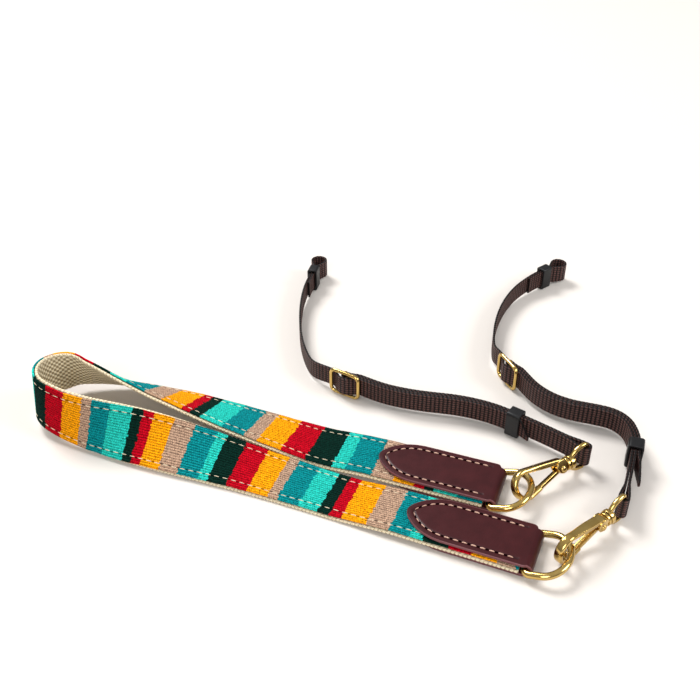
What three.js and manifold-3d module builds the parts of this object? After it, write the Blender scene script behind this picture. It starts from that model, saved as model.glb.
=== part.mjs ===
// A camera strap lying coiled on a table: a striped textile band with leather
// ends and brass rings, a snap hook at each ring, and narrow webbing beyond.
// Millimetres, +Z up. The strap lies on z = 0, seen by its reader from -Y.
// The band stands on edge at its bend and twists flat towards both ends.
import * as THREE from 'three';
import { mergeVertices } from 'three/addons/utils/BufferGeometryUtils.js';
import Module from 'manifold-3d';

const wasm = await Module();
wasm.setup();

const clearance = 0.3; // between pieces that lie on each other
const floorGap = 0.2; // under pieces that just touch the table

// The band: a textile face on a slightly wider canvas lining.
const bandLength = 462; // from ring bar to ring bar
const liningWidth = 25;
const liningThickness = 1.4;
const selvage = 0.5; // lining beyond the textile, each side
const faceWidth = liningWidth - 2 * selvage;
const faceThickness = 1;
const bandStep = 4;
const bandStart = new THREE.Vector2(71.5, -139); // middle of the near ring's bar

// The leather ends, each one strap folded round its ring's bar.
const leather = 1.4;
const tabWidth = 23.5;
const tabLength = 52; // ring bar to tip
const tabPoint = 19; // length of the pointed end
const tabRamp = 32; // band's run down to the table beyond the tip
const foldCorner = 0.6; // full width ends this far before the bar

// The D-rings.
const ringWire = 3;
const ringInside = 20; // clear width
const ringDepth = 15.7; // bar to far side, between wire centres
const ringCorner = 2.4;
const ringBow = 0.58; // bowed share of the depth
const ringShift = 1.2; // the rings sit a little off the middle, to the viewer
const barEnd = 0.7; // band's end to the ring bar

// The snap hooks: a strip bent to a teardrop, closed by a sprung lever.
const hookWidth = 5;
const hookStrip = 2.3;
const curlInside = 4.6; // radius inside the curl
const hookLength = 19.5; // curl centre to rivet
const armRise = 2.7; // back arm above the hook's axis at the rivet
const tipLength = 5;
const gateWidth = 2.6;
const gateThickness = 1.8;
const gateDrop = 0.6; // rivet below the hook's axis
const hubRadius = 1.8;
const rivetRadius = 0.9;
const rivetHead = 1.5;
const bossRadius = 3.1;
const postRadius = 1.2;
const collarRadius = 3;
const collarThickness = 1.1;
const headRadius = 2;

// The swivel eyes, D-shaped, of round wire.
const eyeWire = 2.2;
const eyeInside = 10.6;
const eyeDepth = 9.2; // between wire centres
const eyeCorner = 1.8;
const bushRadius = 3.2;

// The narrow webbing, its slides and its keepers.
const webbingWidth = 10;
const webbingThickness = 1.1;
const webbingStep = 3.4;
const walkStep = 0.5; // of the lines that the strap follows
const slideWire = 1.8;
const slideLength = 17;
const slideSetback = 1.2; // middle bar behind the frame
const slideCorner = 2.4;
const keeperLength = 6.5;
const keeperWall = 1.2;
const keeperRound = 0.8;
const keeperRun = 35; // eye to keeper
const spread = 11; // plies part over this length to go round the eye
const lugLoopWidth = 9;
const lugLoopLength = 13; // beyond its keeper
const lugTail = 10; // behind its keeper

// How the band lies, from the near ring to the far one: share of its length,
// heading in degrees, lean from upright in degrees, and lift off the table as
// a share of its width.
const bandRows = [
  { at: 0.0, heading: 157.5, lean: 90, lift: 0 },
  { at: 0.18, heading: 157.5, lean: 90, lift: 0 },
  { at: 0.246, heading: 159.3, lean: 85, lift: 0 },
  { at: 0.295, heading: 163.3, lean: 75, lift: 0 },
  { at: 0.353, heading: 167.3, lean: 54, lift: 0 },
  { at: 0.395, heading: 167.5, lean: 35, lift: 0 },
  { at: 0.424, heading: 165, lean: 21, lift: 0.02 },
  { at: 0.457, heading: 157, lean: 12, lift: 0.08 },
  { at: 0.4775, heading: 147, lean: 9, lift: 0.13 },
  { at: 0.5095, heading: 95, lean: 6, lift: 0.17 },
  { at: 0.551, heading: 20, lean: 14, lift: 0.16 },
  { at: 0.572, heading: -4, lean: 27, lift: 0.12 },
  { at: 0.615, heading: -13, lean: 47, lift: 0.04 },
  { at: 0.655, heading: -18, lean: 60, lift: 0 },
  { at: 0.705, heading: -23, lean: 71, lift: 0 },
  { at: 0.785, heading: -22.5, lean: 83, lift: 0 },
  { at: 0.855, heading: -20.5, lean: 90, lift: 0 },
  { at: 1.0, heading: -20.5, lean: 90, lift: 0 },
];

// The strap's two ends. Degrees: how far the ring is raised, the hook's heading
// and the tilt of its plane. Millimetres: the curl's place beyond and beside
// the ring's bar, the webbing from eye to slide and from slide to the last
// keeper, and the tail past the first keeper with how far it swings aside.
const ends = [
  {
    name: 'near', side: 'right', looped: false, ringRise: 13, hookHeading: 40, hookTilt: 90,
    curlBeyond: 13.3, curlBeside: 3.4, hookRun: 118, lugRun: 100, tail: 16, swing: -3,
    rows: [
      { at: 0.0, heading: 67, height: 0.77 },
      { at: 0.16, heading: 72, height: 0.73 },
      { at: 0.19, heading: 86, height: 0.73 },
      { at: 0.222, heading: 98, height: 0.73 },
      { at: 0.252, heading: 124, height: 0.73 },
      { at: 0.3, heading: 160, height: 0.73 },
      { at: 0.335, heading: 163, height: 0.73 },
      { at: 0.38, heading: 150, height: 0.73 },
      { at: 0.43, heading: 130, height: 0.73 },
      { at: 0.485, heading: 113, height: 0.73 },
      { at: 0.59, heading: 113, height: 0.73 },
      { at: 0.63, heading: 86, height: 0.6 },
      { at: 0.72, heading: 76, height: 0.53 },
      { at: 0.84, heading: 62, height: 0.53 },
      { at: 0.92, heading: 46, height: 0.6 },
      { at: 0.98, heading: 38, height: 0.67 },
      { at: 1.0, heading: 38, height: 0.67 },
    ],
  },
  {
    name: 'far', side: 'left', looped: true, ringRise: 16, hookHeading: 33, hookTilt: 60,
    curlBeyond: 12.3, curlBeside: 1.9, hookRun: 118, lugRun: 105, tail: 9, swing: 1.5,
    rows: [
      { at: 0.0, heading: 138, height: 0.77 },
      { at: 0.16, heading: 144, height: 0.73 },
      { at: 0.25, heading: 160, height: 0.73 },
      { at: 0.32, heading: 170, height: 0.73 },
      { at: 0.41, heading: 161, height: 0.73 },
      { at: 0.48, heading: 148, height: 0.73 },
      { at: 0.58, heading: 148, height: 0.73 },
      { at: 0.64, heading: 110, height: 0.58 },
      { at: 0.75, heading: 96, height: 0.53 },
      { at: 0.86, heading: 88, height: 0.56 },
      { at: 0.95, heading: 78, height: 0.67 },
      { at: 1.0, heading: 76, height: 0.67 },
    ],
  },
];

const textile = new THREE.MeshStandardMaterial({ color: 0xc2452c, roughness: 0.9 });
const canvas = new THREE.MeshStandardMaterial({ color: 0xcfc2a0, roughness: 0.95 });
const hide = new THREE.MeshStandardMaterial({ color: 0x3f1a20, roughness: 0.45 });
const brass = new THREE.MeshStandardMaterial({ color: 0xc9a65a, roughness: 0.2, metalness: 1 });
const nylon = new THREE.MeshStandardMaterial({ color: 0x2a1714, roughness: 0.85 });
const plastic = new THREE.MeshStandardMaterial({ color: 0x151515, roughness: 0.5 });

const rad = THREE.MathUtils.degToRad;
const ease = (x) => THREE.MathUtils.smoothstep(x, 0, 1);
const mix = THREE.MathUtils.lerp;

// Sizes that follow from the ones above.
const bandThickness = liningThickness + clearance + faceThickness;
const foldInside = Math.max(bandThickness, ringWire) + 2 * clearance;
const tabThickness = foldInside + 2 * leather;
const tongueWidth = ringInside - 4 * clearance;
const curlRadius = curlInside + hookStrip / 2;
const eyeBase = hookLength + bossRadius + collarThickness + clearance + eyeWire / 2;
const eyeBar = eyeBase + eyeDepth;
const eyeHeight = eyeInside / 2 + eyeWire + floorGap;
const plyPitch = webbingThickness + clearance;
const eyeWrap = eyeWire / 2 + clearance + webbingThickness / 2;
const slideWrap = slideWire / 2 + clearance + webbingThickness / 2;
const slidePlane = plyPitch + slideWrap;
const slideReach = (slideLength - slideWire) / 2;
const bumpHeight = slidePlane - slideSetback + slideWrap;
const bumpReach = slideReach - clearance;

// One column of a table at a place along it. Rows are joined by cubics that
// never overshoot them.
function column(rows, name, place) {
  const last = rows.length - 1;
  const held = THREE.MathUtils.clamp(place, rows[0].at, rows[last].at);
  const i = Math.min(rows.findLastIndex((row) => row.at <= held), last - 1);
  const rise = (j) => (rows[j + 1][name] - rows[j][name]) / (rows[j + 1].at - rows[j].at);
  const slope = (j) => {
    const before = rise(Math.max(j - 1, 0));
    const after = rise(Math.min(j, last - 1));
    return before * after > 0 ? (2 * before * after) / (before + after) : 0;
  };
  const span = rows[i + 1].at - rows[i].at;
  const t = (held - rows[i].at) / span;
  return (
    rows[i][name] * (2 * t ** 3 - 3 * t ** 2 + 1) +
    rows[i + 1][name] * (3 * t ** 2 - 2 * t ** 3) +
    span * slope(i) * (t ** 3 - 2 * t ** 2 + t) +
    span * slope(i + 1) * (t ** 3 - t ** 2)
  );
}

// A line walked over the table from a start, turning to the headings of its rows.
// It goes on straight beyond both ends.
class Walk {
  constructor(start, rows, length) {
    this.rows = rows;
    this.step = walkStep;
    this.points = [start.clone()];
    for (let d = this.step / 2; d < length; d += this.step) {
      const previous = this.points[this.points.length - 1];
      this.points.push(previous.clone().addScaledVector(this.direction(d), this.step));
    }
  }
  direction(d) {
    const heading = rad(column(this.rows, 'heading', d));
    return new THREE.Vector2(Math.cos(heading), Math.sin(heading));
  }
  at(d, offset = 0) {
    const whole = THREE.MathUtils.clamp(Math.floor(d / this.step), 0, this.points.length - 1);
    const along = this.direction(d);
    const left = new THREE.Vector2(-along.y, along.x);
    const beyond = d - whole * this.step;
    return this.points[whole].clone().addScaledVector(along, beyond).addScaledVector(left, offset);
  }
}

// A closed body through rings of points with the same count, capped or closed
// on itself, with its faces turned outwards. Both sides of a flat ring are cut
// along the same diagonals, so that twisted layers stay apart.
function loft(rings, closed = false) {
  const sides = rings[0].length;
  const positions = rings.flat().flatMap((p) => [p.x, p.y, p.z]);
  const index = [];
  const spans = closed ? rings.length : rings.length - 1;
  for (let i = 0; i < spans; i++) {
    const next = (i + 1) % rings.length;
    for (let j = 0; j < sides; j++) {
      const k = (j + 1) % sides;
      const [a, b, c, d] = [i * sides + j, next * sides + j, next * sides + k, i * sides + k];
      if (j < sides / 2) index.push(a, b, c, a, c, d);
      else index.push(a, b, d, b, c, d);
    }
  }
  if (!closed) {
    const end = (rings.length - 1) * sides;
    for (let j = 1; j < sides - 1; j++) {
      index.push(0, j, j + 1);
      index.push(end, end + j + 1, end + j);
    }
  }
  let volume = 0;
  const corner = (n) => new THREE.Vector3().fromArray(positions, 3 * index[n]);
  for (let n = 0; n < index.length; n += 3) volume += corner(n).dot(corner(n + 1).cross(corner(n + 2)));
  if (volume < 0) index.reverse();
  const geometry = new THREE.BufferGeometry();
  geometry.setAttribute('position', new THREE.Float32BufferAttribute(positions, 3));
  geometry.setIndex(index);
  geometry.computeVertexNormals();
  return geometry;
}

// A section carried along a flat path. The section's x lies across the path in
// its plane and its y square to the plane.
function sweep(path, section, closed = false) {
  const count = path.length;
  const rings = path.map((point, i) => {
    const before = path[closed ? (i - 1 + count) % count : Math.max(i - 1, 0)];
    const after = path[closed ? (i + 1) % count : Math.min(i + 1, count - 1)];
    const along = after.clone().sub(before).normalize();
    const turn = closed || (i > 0 && i < count - 1) ? mitre(before, point, after) : 1;
    return section.map(
      (s) => new THREE.Vector3(point.x - along.y * s.x * turn, point.y + along.x * s.x * turn, s.y),
    );
  });
  return loft(rings, closed);
}

// How much wider a section is across a corner of its path.
function mitre(before, point, after) {
  const a = point.clone().sub(before).normalize();
  const b = after.clone().sub(point).normalize();
  return 1 / Math.max(Math.sqrt((1 + a.dot(b)) / 2), 0.6);
}

// Sections: round, a flat ply, and a strip with bevelled edges.
function roundSection(radius, sides) {
  return Array.from({ length: sides }, (_, i) => {
    const angle = (2 * Math.PI * (i + 0.5)) / sides;
    return new THREE.Vector2(radius * Math.cos(angle), radius * Math.sin(angle));
  });
}
function plySection(thickness, width) {
  const [x, y] = [thickness / 2, width / 2];
  return [[x, -y], [x, y], [-x, y], [-x, -y]].map(([a, b]) => new THREE.Vector2(a, b));
}
function stripSection(thickness, width) {
  const [x, y, cut] = [thickness / 2, width / 2, thickness / 4];
  return [
    [x, cut - y], [x, y - cut], [x - cut, y], [cut - x, y],
    [-x, y - cut], [-x, cut - y], [cut - x, -y], [x - cut, -y],
  ].map(([a, b]) => new THREE.Vector2(a, b));
}

// Points along an arc or an ellipse, angles in degrees.
function arc(x, y, rx, ry, from, to, steps) {
  return Array.from({ length: steps + 1 }, (_, i) => {
    const angle = rad(mix(from, to, i / steps));
    return new THREE.Vector2(x + rx * Math.cos(angle), y + ry * Math.sin(angle));
  });
}

// A rounded rectangle as a path, anticlockwise from its lower right corner.
function roundedPath(halfX, halfY, radius, steps) {
  return [[1, -1, -90], [1, 1, 0], [-1, 1, 90], [-1, -1, 180]].flatMap(([sx, sy, from]) =>
    arc(sx * (halfX - radius), sy * (halfY - radius), radius, radius, from, from + 90, steps),
  );
}

// Joins and cuts.
function solid(geometry) {
  const bare = geometry.index ? geometry.clone() : mergeVertices(geometry);
  bare.deleteAttribute('normal');
  bare.deleteAttribute('uv');
  const merged = mergeVertices(bare, 1e-4);
  const mesh = new wasm.Mesh({
    numProp: 3,
    vertProperties: new Float32Array(merged.attributes.position.array),
    triVerts: new Uint32Array(merged.index.array),
  });
  return new wasm.Manifold(mesh);
}
function joined(parts, cuts = []) {
  const whole = parts.map(solid).reduce((a, b) => a.add(b));
  const mesh = cuts.map(solid).reduce((a, b) => a.subtract(b), whole).getMesh();
  const geometry = new THREE.BufferGeometry();
  geometry.setAttribute('position', new THREE.BufferAttribute(mesh.vertProperties, 3));
  geometry.setIndex(new THREE.BufferAttribute(mesh.triVerts, 1));
  geometry.computeVertexNormals();
  return geometry;
}
function alongX(radius, from, to, sides = 16) {
  const rod = new THREE.CylinderGeometry(radius, radius, to - from, sides);
  return rod.rotateZ(Math.PI / 2).translate((from + to) / 2, 0, 0);
}
function alongZ(radius, x, y, length, sides = 16) {
  return new THREE.CylinderGeometry(radius, radius, length, sides).rotateX(Math.PI / 2).translate(x, y, 0);
}

function piece(name, geometry, material, parent) {
  const mesh = new THREE.Mesh(geometry, material.clone());
  mesh.name = name;
  parent.add(mesh);
  return mesh;
}

// A group with its x and y axes along two given directions.
function placed(parent, origin, x, y) {
  const group = new THREE.Group();
  const z = new THREE.Vector3().crossVectors(x, y);
  group.quaternion.setFromRotationMatrix(new THREE.Matrix4().makeBasis(x, y, z));
  group.position.copy(origin);
  parent.add(group);
  return group;
}
const up = new THREE.Vector3(0, 0, 1);
const leftOf = (direction) => new THREE.Vector3().crossVectors(up, direction).normalize();

// The band. Its reference line is the middle of its thickness and width.
const scaled = (rows, length) => rows.map((row) => ({ ...row, at: row.at * length }));
const bandTable = scaled(bandRows, bandLength);
const bandWalk = new Walk(bandStart, bandTable, bandLength);

function bandCentre(d) {
  const plan = bandWalk.at(d);
  const lean = rad(column(bandTable, 'lean', d));
  const fromEnd = Math.min(d, bandLength - d);
  const inTab = 1 - ease((fromEnd - tabLength) / tabRamp);
  const lift = column(bandTable, 'lift', d) * liningWidth;
  const standing = (liningWidth / 2) * Math.cos(lean) + (bandThickness / 2) * Math.sin(lean);
  return new THREE.Vector3(plan.x, plan.y, standing + lift + inTab * (tabThickness - bandThickness) / 2);
}

// One layer of the band, its offset counted towards the textile's side.
function bandLayer(width, thickness, offset) {
  const start = ringWire / 2 + barEnd;
  const count = Math.round((bandLength - 2 * start) / bandStep);
  const rings = Array.from({ length: count + 1 }, (_, i) => {
    const d = mix(start, bandLength - start, i / count);
    const lean = rad(column(bandTable, 'lean', d));
    const along = bandCentre(d + 0.5).sub(bandCentre(d - 0.5)).normalize();
    const across = new THREE.Vector3(0, 0, Math.cos(lean)).addScaledVector(leftOf(along), -Math.sin(lean));
    across.addScaledVector(along, -across.dot(along)).normalize();
    const outward = new THREE.Vector3().crossVectors(across, along);
    return plySection(thickness, width).map((s) =>
      bandCentre(d).addScaledVector(outward, offset + s.x).addScaledVector(across, s.y),
    );
  });
  return loft(rings);
}

// A leather end: two shaped plies and a fold round the ring's bar, which lies
// on the y axis. x points away from the band.
function tabGeometry() {
  const half = tabWidth / 2;
  const inside = foldInside / 2;
  const outline = new THREE.Shape();
  outline.moveTo(-tabLength, -half / 8);
  outline.quadraticCurveTo(tabPoint / 3 - tabLength, -half, tabPoint - tabLength, -half);
  outline.lineTo(-foldCorner, -half);
  outline.lineTo(-foldCorner, half);
  outline.lineTo(tabPoint - tabLength, half);
  outline.quadraticCurveTo(tabPoint / 3 - tabLength, half, -tabLength, half / 8);
  const ply = new THREE.ExtrudeGeometry(outline, { depth: leather, bevelEnabled: false, curveSegments: 7 });
  const fold = new THREE.Shape();
  fold.moveTo(-foldCorner - clearance, -inside - leather);
  fold.lineTo(0, -inside - leather);
  fold.absarc(0, 0, inside + leather, -Math.PI / 2, Math.PI / 2);
  fold.lineTo(-foldCorner - clearance, inside + leather);
  fold.lineTo(-foldCorner - clearance, inside);
  fold.lineTo(0, inside);
  fold.absarc(0, 0, inside, Math.PI / 2, -Math.PI / 2, true);
  fold.lineTo(-foldCorner - clearance, -inside);
  const wrap = new THREE.ExtrudeGeometry(fold, { depth: tongueWidth, bevelEnabled: false, curveSegments: 10 });
  wrap.rotateX(Math.PI / 2).translate(0, tongueWidth / 2 - ringShift, 0);
  return joined([ply.clone().translate(0, 0, inside), ply.translate(0, 0, -inside - leather), wrap]);
}

// A D-ring with its bar on the y axis, bowed out along x.
function ringGeometry() {
  const half = (ringInside + ringWire) / 2;
  const bow = ringDepth * ringBow;
  const path = [
    ...arc(ringCorner, ringCorner - half, ringCorner, ringCorner, 180, 270, 4),
    ...arc(ringDepth - bow, 0, bow, half, -90, 90, 18),
    ...arc(ringCorner, half - ringCorner, ringCorner, ringCorner, 90, 180, 4),
  ];
  return sweep(path, roundSection(ringWire / 2, 10), true);
}

// The snap hook lies in its xy plane with the curl's centre at the origin, the
// swivel's axis along x towards the eye, and the back arm on +y.
const armEnd = new THREE.Vector2(hookLength, armRise);
const rivet = new THREE.Vector2(hookLength, -gateDrop);
const touch = (point, sign) =>
  THREE.MathUtils.radToDeg(Math.atan2(point.y, point.x) + sign * Math.acos(curlRadius / point.length()));
const gateFoot = arc(0, 0, curlRadius, curlRadius, touch(rivet, -1), 0, 1)[0];
const gateRun = rivet.clone().sub(gateFoot).normalize();

function hookGeometry() {
  const tip = gateFoot.clone().addScaledVector(gateRun, tipLength);
  const curl = arc(0, 0, curlRadius, curlRadius, touch(armEnd, 1), 360 + touch(rivet, -1), 20);
  const strip = sweep([armEnd, ...curl, tip], stripSection(hookStrip, hookWidth));
  const boss = alongZ(bossRadius, hookLength, armRise / 5, hookWidth, 20);
  const neck = hookLength + bossRadius;
  const collar = alongX(collarRadius, neck - clearance, neck + collarThickness, 20);
  const headStart = eyeBase + eyeWire / 2 + clearance;
  const post = alongX(postRadius, neck - clearance, headStart + clearance);
  const head = alongX(headRadius, headStart, headStart + collarThickness);
  const slotTop = rivet.y + hubRadius + clearance;
  const slot = new THREE.BoxGeometry(3 * bossRadius, 3 * bossRadius, gateWidth + 2 * clearance);
  slot.translate(hookLength + hubRadius + clearance - 1.5 * bossRadius, slotTop - 1.5 * bossRadius, 0);
  const body = joined([strip, boss, collar, post, head], [slot]);
  const faces = [-1, 1].map((side) =>
    alongZ(rivetHead, rivet.x, rivet.y, 1).translate(0, 0, (side * hookWidth) / 2),
  );
  return joined([body, alongZ(rivetRadius, rivet.x, rivet.y, hookWidth), ...faces]);
}

function gateGeometry() {
  const start = gateFoot.clone().addScaledVector(gateRun, tipLength + clearance);
  const lever = sweep([start, rivet], stripSection(gateThickness, gateWidth));
  const hub = alongZ(hubRadius, rivet.x, rivet.y, gateWidth, 18);
  return joined([lever, hub], [alongZ(rivetRadius + clearance, rivet.x, rivet.y, 2 * gateWidth)]);
}

// The swivel eye on the same axis, upright, bored for the hook's post.
function eyeGeometry() {
  const middle = new THREE.Vector2(eyeBase + eyeDepth / 2, 0);
  const path = roundedPath(eyeDepth / 2, (eyeInside + eyeWire) / 2, eyeCorner, 4).map((p) => p.add(middle));
  const wire = sweep(path, roundSection(eyeWire / 2, 10), true);
  const bush = alongX(bushRadius, eyeBase - eyeWire / 2, eyeBase + eyeWire / 2, 20);
  return joined([wire, bush], [alongX(postRadius + clearance, eyeBase - eyeWire, eyeBase + eyeWire)]);
}

// A slide: a rim with a middle bar set back from it, x along the webbing, y up.
function slideGeometry() {
  const half = (webbingWidth + slideWire) / 2 + clearance;
  const section = roundSection(slideWire / 2, 10);
  const rim = sweep(roundedPath(slideReach, half, slideCorner, 4), section, true);
  const bar = new THREE.CylinderGeometry(slideWire / 2, slideWire / 2, 2 * half, 12);
  return joined([rim, bar.translate(0, 0, slideSetback)]);
}

// A keeper: a short sleeve round a few plies, y up, z along the webbing.
function keeperGeometry(plies) {
  const x = (plies * webbingThickness + (plies + 1) * clearance) / 2;
  const y = webbingWidth / 2 + clearance;
  const shape = new THREE.Shape(roundedPath(x + keeperWall, y + keeperWall, keeperRound, 3));
  shape.holes.push(new THREE.Path(roundedPath(x, y, keeperRound / 4, 1).reverse()));
  const sleeve = new THREE.ExtrudeGeometry(shape, { depth: keeperLength, bevelEnabled: false });
  return sleeve.translate(0, 0, -keeperLength / 2);
}

// A run of webbing on its edge, through pairs of distance along a line and
// offset to its left.
function ribbon(line, table, pairs, closed = false) {
  const points = pairs.map(([d, offset]) => {
    const plan = line.at(d, offset);
    return new THREE.Vector3(plan.x, plan.y, column(table, 'height', d) * webbingWidth);
  });
  const section = plySection(webbingThickness, webbingWidth);
  const count = points.length;
  const rings = points.map((point, i) => {
    const before = points[closed ? (i - 1 + count) % count : Math.max(i - 1, 0)];
    const after = points[closed ? (i + 1) % count : Math.min(i + 1, count - 1)];
    const side = leftOf(after.clone().sub(before));
    return section.map((s) => point.clone().addScaledVector(side, s.x).addScaledVector(up, s.y));
  });
  return loft(rings, closed);
}

// Pairs from one distance towards another, the last left to what follows.
function pairs(from, to, offset, step = webbingStep) {
  const count = Math.max(1, Math.round(Math.abs(to - from) / step));
  return Array.from({ length: count }, (_, i) => {
    const d = mix(from, to, i / count);
    return [d, offset(d)];
  });
}
const turn = (d, offset, radius, from, to, steps) =>
  arc(d, offset, radius, radius, from, to, steps).map((p) => [p.x, p.y]);

// The plies of one end as pairs. The passing ply runs from its loop at the lug
// past the slide. The rising ply turns round the slide's middle bar and comes
// back. Either all are one strap that also turns round the eye's bar, or the
// rising one is a closed loop of its own.
function plies(end) {
  const slide = end.hookRun;
  const lug = slide + end.lugRun;
  const fine = webbingStep / 2.5;
  const ahead = slide - slideReach - fine;
  const beyond = slide + slideReach + fine;
  const hump = (d) => {
    const share = Math.min(Math.abs(d - slide) / bumpReach, 1);
    return (1 + Math.cos(Math.PI * share)) / 2;
  };
  const eyeOffset = ((end.looped ? -1 : 1) * plyPitch) / 2;
  const parted = (rest, side) => (d) => mix(eyeOffset + side * eyeWrap, rest, ease(d / spread));

  const loopStart = lug + keeperLength / 2 + 2 * clearance;
  const loopMiddle = lug + keeperLength / 2 + lugLoopLength - lugLoopWidth / 2;
  const loopRadius = (lugLoopWidth - webbingThickness) / 2;
  const opened = (rest, side) => (d) =>
    mix(rest, plyPitch / 2 + side * loopRadius, ease((d - loopStart) / (loopMiddle - loopStart)));
  const passing = pairs(beyond, ahead, (d) => bumpHeight * hump(d), fine).map(([d, offset]) => {
    const slope = (bumpHeight * (hump(d + clearance) - hump(d - clearance))) / (2 * clearance);
    const long = Math.hypot(1, slope);
    return [d - (plyPitch * slope) / long, offset + plyPitch / long];
  });
  const fromLug = [
    ...pairs(lug - keeperLength / 2 - lugTail, loopStart, () => 0),
    ...pairs(loopStart, loopMiddle, opened(0, -1), fine),
    ...turn(loopMiddle, plyPitch / 2, loopRadius, -90, 90, 10),
    ...pairs(loopMiddle, loopStart, opened(plyPitch, 1), fine).slice(1),
    ...pairs(loopStart, beyond, () => plyPitch),
    ...passing,
  ];
  const risingSide = end.looped ? 1 : -1;
  const rising = [
    ...pairs(0, spread, parted(0, risingSide), fine).slice(1),
    ...pairs(spread, ahead, () => 0),
    ...pairs(ahead, slide, (d) => bumpHeight * hump(d), fine),
    ...turn(slide, slidePlane - slideSetback, slideWrap, 90, -90, 6),
    ...pairs(slide, ahead, (d) => mix(-plyPitch, bumpHeight - 2 * slideWrap, hump(d)), fine).slice(1),
  ];
  const tailEnd = keeperRun - end.tail;
  const tail = (rest) => {
    const swung = (d) => rest + end.swing * ease((keeperRun - d) / end.tail - 0.2);
    return [...pairs(keeperRun, tailEnd, swung, fine), [tailEnd, swung(tailEnd)]];
  };
  if (end.looped) {
    const loop = [
      ...turn(0, eyeOffset, eyeWrap, 270, 90, 8),
      ...rising,
      ...pairs(ahead, spread, () => -plyPitch),
      ...pairs(spread, 0, parted(-plyPitch, -1), fine),
    ];
    const single = [...fromLug, ...pairs(ahead, keeperRun, () => plyPitch), ...tail(plyPitch)];
    return { eyeOffset, single, loop };
  }
  const single = [
    ...fromLug,
    ...pairs(ahead, spread, () => plyPitch),
    ...pairs(spread, 0, parted(plyPitch, 1), fine),
    ...turn(0, eyeOffset, eyeWrap, 90, 270, 8),
    ...rising,
    ...pairs(ahead, keeperRun, () => -plyPitch),
    ...tail(-plyPitch),
  ];
  return { eyeOffset, single };
}

// The hook's directions: along its swivel axis, upright, and to its back arm.
function hookDirections(end) {
  const tilt = rad(end.hookTilt);
  const outside = (curlInside + hookStrip) * Math.sin(tilt) + (hookWidth / 2) * Math.cos(tilt);
  const curlHeight = outside + floorGap;
  const pitch = Math.asin((eyeHeight - curlHeight) / eyeBar);
  const heading = rad(end.hookHeading);
  const level = new THREE.Vector3(Math.cos(heading), Math.sin(heading), 0);
  const axis = level.multiplyScalar(Math.cos(pitch)).addScaledVector(up, Math.sin(pitch));
  const left = leftOf(axis);
  const upright = new THREE.Vector3().crossVectors(axis, left);
  const arm = left.multiplyScalar(Math.cos(tilt)).addScaledVector(upright, Math.sin(tilt));
  return { axis, upright, arm, curlHeight };
}

// One end of the strap: leather, ring, hook with its lever and eye, and the
// webbing with its slide and keepers.
function buildEnd(strap, end, distance, outward) {
  const bar = bandCentre(distance).setZ(tabThickness / 2);
  const tab = placed(strap, bar, outward, leftOf(outward));
  piece(`${end.name}_tab`, tabGeometry(), hide, tab);
  const ring = piece(`${end.name}_ring`, ringGeometry(), brass, tab);
  ring.position.y = -ringShift;
  ring.rotation.y = -rad(end.ringRise);

  const { axis, upright, arm, curlHeight } = hookDirections(end);
  const curl = bar.clone().setZ(curlHeight).addScaledVector(outward, end.curlBeyond);
  curl.addScaledVector(leftOf(outward), end.curlBeside);
  const hook = placed(strap, curl, axis, arm);
  piece(`${end.name}_hook`, hookGeometry(), brass, hook);
  piece(`${end.name}_gate`, gateGeometry(), brass, hook);
  piece(`${end.name}_eye`, eyeGeometry(), brass, placed(strap, curl, axis, upright));

  const { eyeOffset, single, loop } = plies(end);
  const table = scaled(end.rows, end.hookRun + end.lugRun);
  const eye = curl.clone().addScaledVector(axis, eyeBar);
  const line = new Walk(new THREE.Vector2(eye.x, eye.y), table, end.hookRun + end.lugRun);
  const aside = line.at(0, -eyeOffset).sub(line.at(0));
  line.points.forEach((point) => point.add(aside));

  const whole = end.looped ? 'lug_webbing' : 'webbing';
  piece(`${end.side}_${whole}`, ribbon(line, table, single), nylon, strap);
  if (loop) piece(`${end.side}_hook_webbing`, ribbon(line, table, loop, true), nylon, strap);

  const beside = (d, offset) => {
    const plan = line.at(d, offset);
    return new THREE.Vector3(plan.x, plan.y, column(table, 'height', d) * webbingWidth);
  };
  const facing = (d) => new THREE.Vector3(line.direction(d).x, line.direction(d).y, 0);
  const slide = placed(strap, beside(end.hookRun, slidePlane), facing(end.hookRun), up);
  piece(`${end.side}_slide`, slideGeometry(), brass, slide);
  const keepers = [
    { name: 'hook_keeper', at: keeperRun, offset: 0, count: 3 },
    { name: 'lug_keeper', at: end.hookRun + end.lugRun, offset: plyPitch / 2, count: 2 },
  ];
  for (const keeper of keepers) {
    const group = placed(strap, beside(keeper.at, keeper.offset), leftOf(facing(keeper.at)), up);
    piece(`${end.side}_${keeper.name}`, keeperGeometry(keeper.count), plastic, group);
  }
}

const strap = new THREE.Group();
strap.name = 'camera_strap';
const surplus = bandThickness / 2;
const liningLayer = bandLayer(liningWidth, liningThickness, liningThickness / 2 - surplus);
const faceLayer = bandLayer(faceWidth, faceThickness, surplus - faceThickness / 2);
piece('band_lining', liningLayer, canvas, strap);
piece('band_face', faceLayer, textile, strap);
const flat = (d, sign) => new THREE.Vector3(bandWalk.direction(d).x, bandWalk.direction(d).y, 0).multiplyScalar(sign);
buildEnd(strap, ends[0], 0, flat(0, -1));
buildEnd(strap, ends[1], bandLength, flat(bandLength, 1));

// The whole strap stands on z = 0 about the middle of its outline.
const box = new THREE.Box3().setFromObject(strap, true);
const middle = box.getCenter(new THREE.Vector3());
strap.position.set(-middle.x, -middle.y, -box.min.z);

export default strap;
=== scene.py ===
"""A camera strap lying in a loop on a table: a striped textile band on canvas,
leather ends, brass rings and snap hooks, and narrow webbing with its slides and
keepers. Lengths are in millimetres until a mesh is made, in the part's frame."""

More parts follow.
